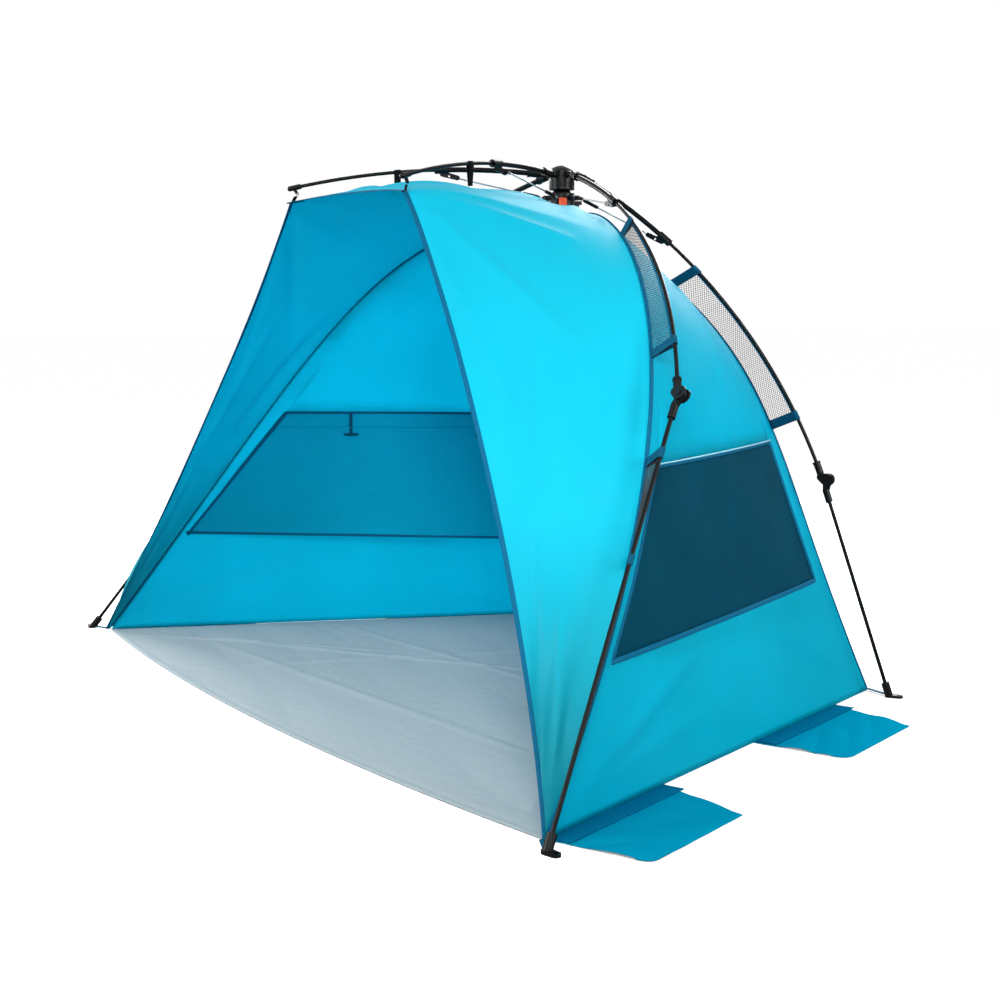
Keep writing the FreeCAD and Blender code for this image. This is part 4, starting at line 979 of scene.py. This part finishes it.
def build_sand_flaps():
    """Sand flaps: flat sheets outside the wall, with one outer corner rounded as a quarter circle,
    r * (1 - sqrt(1 - (1 - s/r)^2)), with slow waves, and a doubled strip along the wall whose
    darker blue is painted shade."""
    run = unit(np.array([*(REAR_CORNER - FRONT_CORNER)[:2], 0.0]))
    out = np.array([run[1], -run[0], 0.0])
    origin = np.array([*FRONT_CORNER[:2], 0.0]) + out * 0.0004
    for side, at in PLACED.items():
        made = []
        for k, start in enumerate(SAND_STARTS):
            s, w = np.meshgrid(np.linspace(0, 1, 60), np.linspace(0, 1, 44), indexing="ij")
            to_edge = 1 - np.clip(s * SAND_L / SAND_ROUND, 0, 1)
            corner = SAND_ROUND * (1 - np.sqrt(np.clip(1 - to_edge**2, 0, 1)))
            reach = SAND_W - corner
            length = SAND_HEM_L + (SAND_L - SAND_HEM_L) * w
            points = origin + run * (start + s * length)[..., None] + out * (w * reach)[..., None]
            ripple = np.abs(waves(points, seed=31 + k, wavelength=0.16, rise=0.0022))
            ripple = ripple * smooth((w - 0.24) / 0.15) * smooth((1 - w) / 0.08 + 0.3)
            points[..., 2] = 0.0009 + ripple
            made.append(grid_piece(f"sand_sheet_{side}_{k}", at(points), flip=side == "right"))
        sheets = join(f"sand_flap_cloth_{side}", made)
        thicken(sheets, 0.0010)
        finish_piece(sheets, MATERIALS["sand"], "tent_body",
                     [f"sand_flaps_{side}"])
        hems = []
        for k, start in enumerate(SAND_STARTS):
            line = np.linspace(0.004, SAND_HEM_L - 0.004, 40)[:, None] * run + origin + run * start
            line = line + out * (SAND_HEM_W / 2) + UP * 0.0026
            line[:, 2] += np.abs(waves(line, seed=41 + k, wavelength=0.10, rise=0.0006))
            hems.append(swept(f"sand_hem_{side}_{k}", at(line), at(out), UP,
                              tape_outline(SAND_HEM_W - 0.004, 0.0016)))
        hem = join(f"sand_flap_hem_{side}", hems)
        # the doubled strip's darker blue is painted shade
        finish_piece(hem, MATERIALS["hem"], "tent_body")


def flap_corners():
    """The roll-up flap's plane: the wall's points at its corners, laid flat and moved inwards."""
    net = side_net()
    spots = np.array([on_net(net, a, b) for a, b in FLAP_SPOTS])
    normal = unit(np.cross(spots[1] - spots[0], spots[3] - spots[0]))
    normal = normal if normal @ (INSIDE - spots[0]) > 0 else -normal
    flat = spots - ((spots - spots[0]) @ normal)[:, None] * normal + normal * FLAP_IN
    run = unit(flat[1] - flat[0])
    flat[:2] += FLAP_HEAD * unit(np.cross(run, normal)) * np.sign(np.cross(run, normal)[2])
    flat[[0, 3]] -= FLAP_SIDE * run
    return flat, normal


def inside_wall(points, normal, gap=0.0035):
    """Points moved along the flap's normal until they are at least the gap inside the wall."""
    net = side_net()
    spot = wall_inverse(net, points[..., 1], points[..., 2])
    depth = (points - on_net(net, spot[..., 0], spot[..., 1])) @ normal
    return points + normal * np.maximum(gap - depth, 0.0)[..., None]


def flap_sheet(name, corners, normal, at, rows, lift=None):
    """Bilinear sheet between four corners, raised along the normal by lift where one is given, and
    kept inside the wall."""
    s, t = np.meshgrid(np.linspace(0, 1, 70), np.linspace(0, 1, rows), indexing="ij")
    s, t = s[..., None], t[..., None]
    points = (corners[0] * (1 - s) * (1 - t) + corners[1] * s * (1 - t)
              + corners[2] * s * t + corners[3] * (1 - s) * t)
    height = lift(points, s, t) if lift else np.zeros(points.shape[:-1])
    points = inside_wall(points + normal * (height + 0.0008)[..., None], normal)
    flip = (facing(points) > 0) == (at(points)[0, 0, 0] > 0)
    return sheet_piece(name, at(points), 0.0008, flip=flip)


def flap_tapes(name, corners, normal, at, sides):
    """Binding tape along some of a flap's sides, just inside its edge."""
    tapes = []
    for k, (p, q) in enumerate(sides):
        way = unit(corners[q] - corners[p])
        inset = np.cross(way, normal)
        inset = inset * np.sign(inset @ (corners.mean(axis=0) - corners[p]))
        path = inside_wall(np.linspace(corners[p], corners[q], 24) + inset * 0.004, normal, 0.0045)
        tapes.append(swept(f"{name}_{k}", at(path + normal * 0.0004), at(np.cross(way, normal)),
                           at(normal), tape_outline(0.008, 0.0020)))
    return join(name, tapes)


FLAP_FOLDS = [
    ((0.78, -0.15, 0.54), (0.62, 0.20, 0.25), 0.02, 0.003),
    ((0.46, 0.40, 0.53), (0.80, -0.20, 0.28), 0.02, 0.0025),
    ((0.62, 0.13, 0.54), (0.70, 0.02, 0.26), 0.02, 0.002),
]
TIE_SPOTS = (10, 30)        # of the 40 points along the flap's top: a quarter from each end
TIE_SPLIT = 20              # of a tie's 32 points, those that stay on the header


def sag(points, s, t):
    """Height of the flap's folds and waves, faded out at its four edges."""
    fade = smooth(s / 0.1) * smooth((1 - s) / 0.1) * smooth(t / 0.2) * smooth((1 - t) / 0.1)
    lift = hills(points, FLAP_FOLDS) + waves(points, seed=51, wavelength=0.22, rise=0.0008)
    return lift * fade[..., 0]


def flap_ties(side, at, line, run, down, normal):
    """Two ties that run down from the flap's top and stand off it as half a sine, cut in two at
    the hinge line, and a toggle bar across each lower end, whose girth is r * sqrt(1 - u^6)."""
    tops, ends = [], []
    for k, where in enumerate(TIE_SPOTS):
        drop = line[where] + normal * 0.0040 + np.linspace(0, 0.062, 32)[:, None] * down
        drop = drop + normal * (0.004 * np.sin(np.linspace(0, 3.1, 32)))[:, None]
        for part, rows in ((tops, slice(0, TIE_SPLIT)), (ends, slice(TIE_SPLIT, 32))):
            part.append(swept(f"flap_tie_{side}_{k}", at(drop[rows]), at(run), at(normal),
                              tape_outline(0.009, 0.0016)))
        bar = drop[0] + down * 0.058 + normal * 0.0005
        bar = bar + np.linspace(-0.020, 0.020, 17)[:, None] * run
        girth = 0.0036 * np.sqrt(np.clip(1 - np.linspace(-0.98, 0.98, 17) ** 6, 0.05, 1))
        name = f"flap_toggle_bar_{side}_{k}"
        ends.append(tapered(name, at(bar), at(down), at(normal), girth))
    return join(f"flap_tie_tops_{side}", tops), join(f"flap_toggles_{side}", ends)


def build_window_flaps():
    """Roll-up flaps. A header strip is sewn to the wall along the window's top, with a rolled hem
    and the tops of two ties; below it the flap hangs from its hinge line and sags a little, with
    taped edges and the ties' lower ends, which carry the toggles."""
    corners, normal = flap_corners()
    run = unit(corners[1] - corners[0])
    down = unit(np.cross(run, normal))
    down = down if down[2] < 0 else -down
    edges = ((corners[0], corners[3]), (corners[1], corners[2]))
    hinge = np.array([p + (q - p) * FLAP_HEAD / ((q - p) @ down) for p, q in edges])
    head = np.array([corners[0], corners[1], hinge[1], hinge[0]])
    flap = np.array([hinge[0], hinge[1], corners[2], corners[3]])
    line = inside_wall(np.linspace(corners[0], corners[1], 40), normal, 0.0045)
    for side, at in PLACED.items():
        body = f"flap_{side}"
        header = flap_sheet(f"flap_header_cloth_{side}", head, normal, at, 8)
        finish_piece(header, MATERIALS["flap"], "tent_body")
        cloth = flap_sheet(f"window_flap_cloth_{side}", flap, normal, at, 40, sag)
        finish_piece(cloth, MATERIALS["flap"], body, [f"window_flap_{side}"])
        roll = swept(f"flap_top_hem_{side}", at(line), at(np.cross(run, normal)), at(normal),
                     round_outline(0.0032, 12))
        finish_piece(roll, MATERIALS["tape"], "tent_body")
        tapes = flap_tapes(f"flap_header_tape_{side}", head, normal, at, ((1, 2), (3, 0)))
        finish_piece(tapes, MATERIALS["tape"], "tent_body")
        tapes = flap_tapes(f"flap_edge_tape_{side}", flap, normal, at, ((1, 2), (2, 3), (3, 0)))
        finish_piece(tapes, MATERIALS["tape"], body)
        tops, toggles = flap_ties(side, at, line, run, down, normal)
        finish_piece(tops, MATERIALS["webbing"], "tent_body")
        finish_piece(toggles, MATERIALS["webbing"], body)


# ---- poles as curves, for what is sewn to them --------------------------------------------------
def arc(start, end, bulge, bow):
    """Circle arc from start to end that rises by bow over its chord towards bulge: its centre,
    axis, radius and length. A point is the start turned about the axis by length / radius."""
    chord = end - start
    half = np.linalg.norm(chord) / 2
    along = unit(chord)
    side = unit(bulge - along * (bulge @ along))
    radius = (half * half + bow * bow) / (2 * bow)
    centre = (start + end) / 2 - side * (radius - bow)
    return centre, np.cross(side, along), radius, radius * 2 * math.asin(half / radius)


def arc_point(start, pole, s):
    """Point of an arc at a length s from its start: centre + r cos(s/R) + (axis x r) sin(s/R),
    with r from the centre to the start and R the radius."""
    centre, axis, radius, _ = pole
    turn = np.asarray(s, float)[..., None] / radius
    r = start - centre
    return centre + r * np.cos(turn) + np.cross(axis, r) * np.sin(turn)


def pole_start(azimuth):
    """Ear pin of the hub at an azimuth in degrees, on the circle of all the pins."""
    a = math.radians(azimuth)
    return np.array([PIN_RING * math.cos(a), HUB_Y + PIN_RING * math.sin(a), PIN_Z])


def knee_of(foot, length, lean, inward, up):
    """Top of a lower leg: from its foot, its length at a lean in degrees from up to inward."""
    a = math.radians(lean)
    return foot + (inward * math.sin(a) + up * math.cos(a)) * length


def place_poles():
    """The three right-hand poles' arcs, from their ear pins at the hub to their far ends."""
    front_up = unit(np.array([0, HUB_Y - FRONT_FOOT[1], PIN_Z]))
    rear_way = unit(np.array([REAR_FOOT[0], REAR_FOOT[1] - HUB_Y, 0.0]))
    front = knee_of(FRONT_FOOT, FRONT_LEG, FRONT_LEAN, np.array([-1.0, 0, 0]), front_up)
    rear = knee_of(REAR_FOOT, REAR_LEG, REAR_LEAN, -rear_way, UP)
    poles = {}
    for kind, end, bulge, bow in (("front", front, np.array([1.0, 0, 0]), FRONT_BOW),
                                  ("rear", rear, rear_way, REAR_BOW),
                                  ("visor", ARM_TIP, UP, ARM_BOW)):
        start = pole_start(AZIMUTHS[kind])
        poles[kind] = (start, arc(start, end, bulge, bow))
    return poles


POLES = place_poles()
# shares between which each vent runs, along its pole and along its seam
VENT_SHARES = {"front": ((0.361, 0.842), (0.275, 0.565)), "rear": ((0.353, 0.777), (0.185, 0.58))}
KNUCKLE_PIN = np.array([0.836922, -0.145015, 0.718550])
LEG_RUN = np.array([0.302877, -0.5293974, -0.792467])
LEG_OUT = np.array([0.9530266, 0.1661509, 0.2532471])


def vent_lines(kind, n=90):
    """The two long edges of a vent: along the underside of its pole, and along its seam."""
    along, share = VENT_SHARES[kind]
    start, pole = POLES[kind]
    t = np.linspace(0, 1, n)
    near = arc_point(start, pole, along[0] + (along[1] - along[0]) * t)
    seam = FRONT_SEAM if kind == "front" else REAR_SEAM
    edge = on_curve(seam, share[0] + (share[1] - share[0]) * t)
    edge = edge + unit(VENT_OUT) * 0.0009
    return near + unit(edge - near) * (ROD_R + GAP), edge


def leg_vent_lines(n=50):
    """The same for the strip below the front knuckle, which runs beside the straight lower leg,
    from 0.13 to 0.40 of the way from its knuckle to its foot."""
    top = KNUCKLE_PIN - LEG_OUT * 0.011
    reach = (FRONT_FOOT - KNUCKLE_PIN) @ LEG_RUN
    t = np.linspace(0, 1, n)
    near = top + LEG_RUN * (reach * (0.13 + 0.27 * t))[:, None]
    edge = on_curve(FRONT_SEAM, 0.694 + 0.106 * t) + unit(VENT_OUT) * 0.0009
    return near + unit(edge - near) * (LEG_R + GAP), edge


def net_strip(name, near, edge, pitch, yarn):
    """Open net between two lines: a diamond grid whose strands are turned into yarn by a Wireframe
    modifier. Its rows and columns are set by the net's pitch."""
    length = run_lengths(near[:, None], 0)[-1, 0]
    rows = max(int(length / pitch), 8)
    widest = np.linalg.norm(edge - near, axis=-1).max()
    columns = max(int(round(widest / pitch)), 3)
    pick = np.linspace(0, len(near) - 1, 2 * rows + 1)
    index = np.arange(len(near))
    lines = [np.stack([np.interp(pick, index, line[:, k]) for k in range(3)], axis=-1)
             for line in (near, edge)]
    t = np.linspace(0, 1, 2 * columns + 1)[None, :, None]
    grid = lines[0][:, None] * (1 - t) + lines[1][:, None] * t
    i, j = np.meshgrid(np.arange(1, 2 * rows), np.arange(1, 2 * columns), indexing="ij")
    keep = (i + j) % 2 == 0
    i, j = i[keep], j[keep]
    wide = 2 * columns + 1
    diamonds = np.stack([(i - 1) * wide + j, i * wide + j + 1,
                         (i + 1) * wide + j, i * wide + j - 1], axis=-1)
    uv = np.stack([run_lengths(grid, 0), run_lengths(grid, 1)], axis=-1)
    obj = new_mesh(name, grid, diamonds.tolist(), uv)
    wires = obj.modifiers.new("Yarn", "WIREFRAME")
    wires.thickness = yarn
    wires.use_even_offset = False
    wires.use_boundary = True
    bpy.context.view_layer.objects.active = obj
    bpy.ops.object.modifier_apply(modifier="Yarn")
    return obj


def build_vents():
    """Open net strips between the poles and the canopy's seams, with webbing bands at their ends
    and a narrow tape along each long edge."""
    pitch = bpy.context.scene.tent_sizes.net_pitch
    strips = {"front": vent_lines("front"), "rear": vent_lines("rear"), "leg": leg_vent_lines()}
    for side, at in PLACED.items():
        nets, bands, tapes = [], [], []
        for kind, (near, edge) in strips.items():
            nets.append(net_strip(f"net_{kind}_{side}", at(near), at(edge), pitch, 0.00145))
            normal = unit(np.cross(np.gradient(near, axis=0), edge - near))
            for k, line in enumerate((near, edge)):
                towards_net = unit((edge - near) * (1 - 2 * k))
                tapes.append(swept(f"net_tape_{kind}_{side}_{k}", at(line + towards_net * 0.0018),
                                   at(towards_net), at(normal), tape_outline(0.0036, 0.0018)))
            radius = LEG_R if kind == "leg" else ROD_R
            for k, row in enumerate((2, len(near) - 3)):
                a, b = near[row], edge[row]
                hoop = loop_round(a + unit(a - b) * (radius + GAP), b, normal[row],
                                  radius + 0.0012)
                run = unit(near[row] - near[row - 1])
                outwards = np.cross(run, unit(np.gradient(hoop, axis=0)))
                bands.append(swept(f"band_{kind}_{side}_{k}", at(hoop), at(run), at(outwards),
                                   tape_outline(0.022, 0.0012), closed=True))
        net = join(f"vent_nets_{side}", nets)
        finish_piece(net, MATERIALS["net"], "tent_body", [f"vent_strips_{side}"])
        finish_piece(join(f"vent_edge_tapes_{side}", tapes), MATERIALS["tape"], "tent_body")
        finish_piece(join(f"vent_bands_{side}", bands), MATERIALS["webbing"], "tent_body")


def loop_round(centre, end, normal, radius, n=14):
    """Band that goes round a pole and comes back to the seam: half a circle round the centre on the
    far side from end, and two straight runs that meet at end."""
    away = unit(centre - end)
    turn = np.linspace(-math.pi / 2, math.pi / 2, n)[:, None]
    half = centre + away * np.cos(turn) * radius + normal * np.sin(turn) * radius
    t = np.linspace(0.08, 1, 8)[:, None]
    down = half[-1] * (1 - t) + (end + normal * 0.0009) * t
    back = (half[0] * (1 - t) + (end - normal * 0.0009) * t)[::-1]
    return np.concatenate([half, down, back])


MID_STRAP_AT = 0.58         # of the visor arm's length, from the hub
MID_STRAP_DROP = 0.0475
TIP_BACK = 0.014            # the tip strap's place from the arm's end
CORNER_Z = 0.0045           # height of the elastics between the corners and the feet


def corner_elastics(side, at, share):
    """Elastics from the cloth's two ground corners to the feet, straight and a little over the
    ground; share runs from 0 to 1 along each."""
    elastics = []
    for k, (corner, foot) in enumerate(((WING_CORNER, FRONT_FOOT), (REAR_CORNER, REAR_FOOT))):
        way = unit(np.array([*(foot - corner)[:2], 0.0]))
        a = np.array([*corner[:2], CORNER_Z]) - way * 0.006
        b = np.array([*foot[:2], CORNER_Z]) - way * 0.0135
        elastics.append(swept(f"elastic_{side}_{k}", at(a * (1 - share) + b * share),
                              at(np.cross(way, UP)), UP, tape_outline(0.012, 0.0016)))
    return join(f"corner_elastics_{side}", elastics)


def build_straps():
    """Straps that hang the roof from the visor arms, the corner elastics and the apex patch."""
    start, pole = POLES["visor"]
    length = pole[3]
    s_mid = length * MID_STRAP_AT
    top = arc_point(start, pole, s_mid)
    run = unit(arc_point(start, pole, s_mid + 0.002) - top)
    share = np.linspace(0, 1, 24)[:, None]
    a = arc_point(start, pole, length - TIP_BACK) - UP * 0.0195
    b = VISOR_CORNER + np.array([-0.002, 0.006, 0.0014])
    hoop = loop_round(top, top - UP * MID_STRAP_DROP, np.cross(run, UP), ROD_R + 0.0011, 16)
    outwards = np.cross(run, unit(np.gradient(hoop, axis=0)))
    tab_line = (b + np.array([0.004, -0.006, -0.003])
                + np.linspace(0, 1, 12)[:, None] * np.array([-0.016, 0.020, 0.004]))
    for side, at in PLACED.items():
        hang = swept(f"mid_strap_{side}", at(hoop), at(run), at(outwards),
                     tape_outline(0.015, 0.0014), closed=True)
        tip = swept(f"tip_strap_{side}", at(a * (1 - share) + b * share), at(run),
                    at(np.cross(run, unit(b - a))), tape_outline(0.009, 0.0014))
        tab = swept(f"corner_tab_{side}", at(tab_line), at(run), at(UP),
                    tape_outline(0.016, 0.003))
        # the one node of both sides' straps is replaced once, with the right-hand piece
        finish_piece(hang, MATERIALS["strap"], f"visor_{side}_arm",
                     ["visor_straps"] if side == "right" else [], squash=False)
        finish_piece(join(f"corner_strap_{side}", [tip, tab]), MATERIALS["strap"], "tent_body")
        finish_piece(corner_elastics(side, at, share), MATERIALS["webbing"], "tent_body",
                     ["corner_straps"] if side == "right" else [])
    ring = np.linspace(0, 2 * math.pi, 40, endpoint=False)
    centre = APEX + UP * 0.0032
    circle = centre + 0.0095 * np.stack([np.cos(ring), np.sin(ring), 0 * ring], axis=-1)
    patch = swept("apex_patch_cloth", circle, unit(circle - centre), UP,
                  tape_outline(0.0052, 0.0014), closed=True)
    finish_piece(patch, MATERIALS["webbing"], "tent_body", ["apex_patch"])


# ---- stage --------------------------------------------------------------------------------------
def white_floor():
    """Matt white paper. Only the eye sees it white; what it throws back at the tent is dimmer, as
    a studio's darker surroundings would."""
    mat, tree, shader, _ = start_material("matt white paper")
    seen = add(tree, "ShaderNodeLightPath").outputs["Is Camera Ray"]
    tone = add(tree, "ShaderNodeMix", {
        "Factor": seen, 6: linear("#959595"), 7: linear("#fdfdfd")}, data_type="RGBA")
    lift = add(tree, "ShaderNodeMath", {0: seen, 1: 0.32}, operation="MULTIPLY")
    tree.links.new(tone.outputs[2], shader.inputs["Base Color"])
    tree.links.new(lift.outputs[0], shader.inputs["Emission Strength"])
    shader.inputs["Emission Color"].default_value = linear("#ffffff")
    shader.inputs["Roughness"].default_value = 0.9
    shader.inputs["Specular IOR Level"].default_value = 0.0
    return mat


def studio_sky():
    """Soft light from all round, brighter overhead than at the horizon, against plain white."""
    world = bpy.data.worlds.new("studio")
    bpy.context.scene.world = world
    world.use_nodes = True
    tree = world.node_tree
    place = add(tree, "ShaderNodeTexCoord").outputs["Generated"]
    height = add(tree, "ShaderNodeSeparateXYZ", {0: place}).outputs["Z"]
    power = add(tree, "ShaderNodeMapRange", {"Value": height, "To Min": 0.22, "To Max": 0.92})
    white = linear("#ffffff")
    soft = add(tree, "ShaderNodeBackground", {"Color": white, "Strength": power.outputs[0]})
    plain = add(tree, "ShaderNodeBackground", {"Color": white, "Strength": 1.0})
    seen = add(tree, "ShaderNodeLightPath").outputs["Is Camera Ray"]
    both = add(tree, "ShaderNodeMixShader", {0: seen, 1: soft.outputs[0], 2: plain.outputs[0]})
    tree.links.new(both.outputs[0], tree.nodes["World Output"].inputs["Surface"])


LAMPS = (
    # name, place, aim, size, watts and spread in degrees: one on the wing, one on the side wall,
    # two from outside through the cloth and one into the doorway
    ("wing_light", (2.9, -1.9, 1.9), (0.86, -0.42, 0.68), 0.9, 7.5, 46),
    ("side_light", (3.3, 1.5, 1.7), (0.55, 0.30, 0.70), 1.2, 19, 90),
    ("back_light", (-1.7, 2.6, 2.2), (-0.2, 0.2, 0.6), 2.0, 130, 180),
    ("left_light", (-3.2, -0.4, 1.4), (-0.6, 0.0, 0.5), 1.8, 68, 180),
    ("door_light", (-0.9, -3.0, 1.9), (-0.4, 0.0, 0.2), 1.6, 40, 120),
)


CAMERA_PLACE = (3.2808, -2.1143, 0.9106)
CAMERA_WAY = (-0.83454, 0.53530, -0.13092)
CAMERA_LENS = 60.3666
CAMERA_SHIFT = 0.01188


def build_stage():
    """White floor, plain white surroundings, soft lamps and the camera."""
    bpy.ops.mesh.primitive_plane_add(size=60, location=(0, 0, -0.0006))
    ground = bpy.context.object
    ground.name = "studio_floor"
    ground.data.materials.append(white_floor())
    studio_sky()
    scene = bpy.context.scene
    for name, place, aim, size, power, spread in LAMPS:
        lamp = bpy.data.lights.new(name, "AREA")
        lamp.shape, lamp.size, lamp.energy = "DISK", size, power
        lamp.spread = math.radians(spread)
        obj = bpy.data.objects.new(name, lamp)
        obj.location = place
        obj.rotation_mode = "QUATERNION"
        obj.rotation_quaternion = direction(np.subtract(aim, place))
        scene.collection.objects.link(obj)
    data = bpy.data.cameras.new("camera")
    camera = bpy.data.objects.new("camera", data)
    scene.collection.objects.link(camera)
    camera.location = CAMERA_PLACE
    camera.rotation_mode = "QUATERNION"
    camera.rotation_quaternion = direction(CAMERA_WAY)
    data.sensor_width = 36.0
    data.lens = CAMERA_LENS
    data.shift_y = CAMERA_SHIFT
    scene.camera = camera
    scene.view_settings.view_transform = "Standard"


def direction(way):
    """Turn that points a lamp or a camera along a direction, with its top up."""
    return Vector([float(c) for c in way]).to_track_quat("-Z", "Y")


# ---- operators and panel ------------------------------------------------------------------------
class TENT_OT_materials(bpy.types.Operator):
    """Make the tent's materials"""
    bl_idname = "tent.materials"
    bl_label = "Finishes"

    def execute(self, context):
        make_materials()
        return {"FINISHED"}


class TENT_OT_frame(bpy.types.Operator):
    """Put finishes on the hub, poles, struts, knuckles and feet"""
    bl_idname = "tent.frame"
    bl_label = "Frame"

    def execute(self, context):
        finish_frame()
        return {"FINISHED"}


class TENT_OT_sleeves(bpy.types.Operator):
    """Build the sleeves on the struts' ends"""
    bl_idname = "tent.sleeves"
    bl_label = "Strut sleeves"

    def execute(self, context):
        build_sleeves()
        return {"FINISHED"}


class TENT_OT_canopy(bpy.types.Operator):
    """Build the roof and wings in one sheet, with their hem"""
    bl_idname = "tent.canopy"
    bl_label = "Front canopy"

    def execute(self, context):
        build_canopy()
        return {"FINISHED"}


class TENT_OT_walls(bpy.types.Operator):
    """Build the side walls, their window nets, bindings and piping"""
    bl_idname = "tent.walls"
    bl_label = "Side walls"

    def execute(self, context):
        build_walls()
        return {"FINISHED"}


class TENT_OT_back_wall(bpy.types.Operator):
    """Build the back wall"""
    bl_idname = "tent.back_wall"
    bl_label = "Back wall"

    def execute(self, context):
        build_back_wall()
        return {"FINISHED"}


class TENT_OT_seams(bpy.types.Operator):
    """Build the binding tape over the seams"""
    bl_idname = "tent.seams"
    bl_label = "Seams"

    def execute(self, context):
        build_seams()
        return {"FINISHED"}


class TENT_OT_floor(bpy.types.Operator):
    """Build the groundsheet and its hem"""
    bl_idname = "tent.floor"
    bl_label = "Groundsheet"

    def execute(self, context):
        build_floor()
        return {"FINISHED"}


class TENT_OT_sand_flaps(bpy.types.Operator):
    """Build the sand flaps outside the walls"""
    bl_idname = "tent.sand_flaps"
    bl_label = "Sand flaps"

    def execute(self, context):
        build_sand_flaps()
        return {"FINISHED"}


class TENT_OT_window_flaps(bpy.types.Operator):
    """Build the roll-up flaps with their headers, ties and toggles"""
    bl_idname = "tent.window_flaps"
    bl_label = "Window flaps"

    def execute(self, context):
        build_window_flaps()
        return {"FINISHED"}


class TENT_OT_vents(bpy.types.Operator):
    """Build the net strips beside the poles, with their bands and tapes"""
    bl_idname = "tent.vents"
    bl_label = "Vents"

    def execute(self, context):
        build_vents()
        return {"FINISHED"}


class TENT_OT_straps(bpy.types.Operator):
    """Build the straps, elastics and apex patch"""
    bl_idname = "tent.straps"
    bl_label = "Straps"

    def execute(self, context):
        build_straps()
        return {"FINISHED"}


class TENT_OT_stage(bpy.types.Operator):
    """Build the floor, lights and camera"""
    bl_idname = "tent.stage"
    bl_label = "Stage"

    def execute(self, context):
        build_stage()
        return {"FINISHED"}


OPERATORS = [
    TENT_OT_materials, TENT_OT_frame, TENT_OT_sleeves, TENT_OT_canopy, TENT_OT_walls,
    TENT_OT_back_wall, TENT_OT_seams, TENT_OT_floor, TENT_OT_sand_flaps, TENT_OT_window_flaps,
    TENT_OT_vents, TENT_OT_straps, TENT_OT_stage,
]


class TENT_PT_panel(bpy.types.Panel):
    """Sizes, colours and the steps that build the tent."""
    bl_label = "Pop up tent"
    bl_space_type = "VIEW_3D"
    bl_region_type = "UI"
    bl_category = "Tent"

    def draw(self, context):
        """Lists every setting, then every operator."""
        for group in (context.scene.tent_sizes, context.scene.tent_colours):
            for name in type(group).__annotations__:
                self.layout.prop(group, name)
        for made in OPERATORS:
            self.layout.operator(made.bl_idname)


CLASSES = [TentSizes, TentColours, *OPERATORS, TENT_PT_panel]


def register():
    """Registers the settings, the operators and the panel, and ties the settings to the scene."""
    for made in CLASSES:
        bpy.utils.register_class(made)
    bpy.types.Scene.tent_sizes = bpy.props.PointerProperty(type=TentSizes)
    bpy.types.Scene.tent_colours = bpy.props.PointerProperty(type=TentColours)


def unregister():
    """Takes away what register added, in the reverse order."""
    del bpy.types.Scene.tent_colours
    del bpy.types.Scene.tent_sizes
    for made in reversed(CLASSES):
        bpy.utils.unregister_class(made)


def main():
    """Builds everything, in order."""
    register()
    for made in OPERATORS:
        getattr(bpy.ops.tent, made.bl_idname.split(".")[1])()


if __name__ == "__main__":
    main()
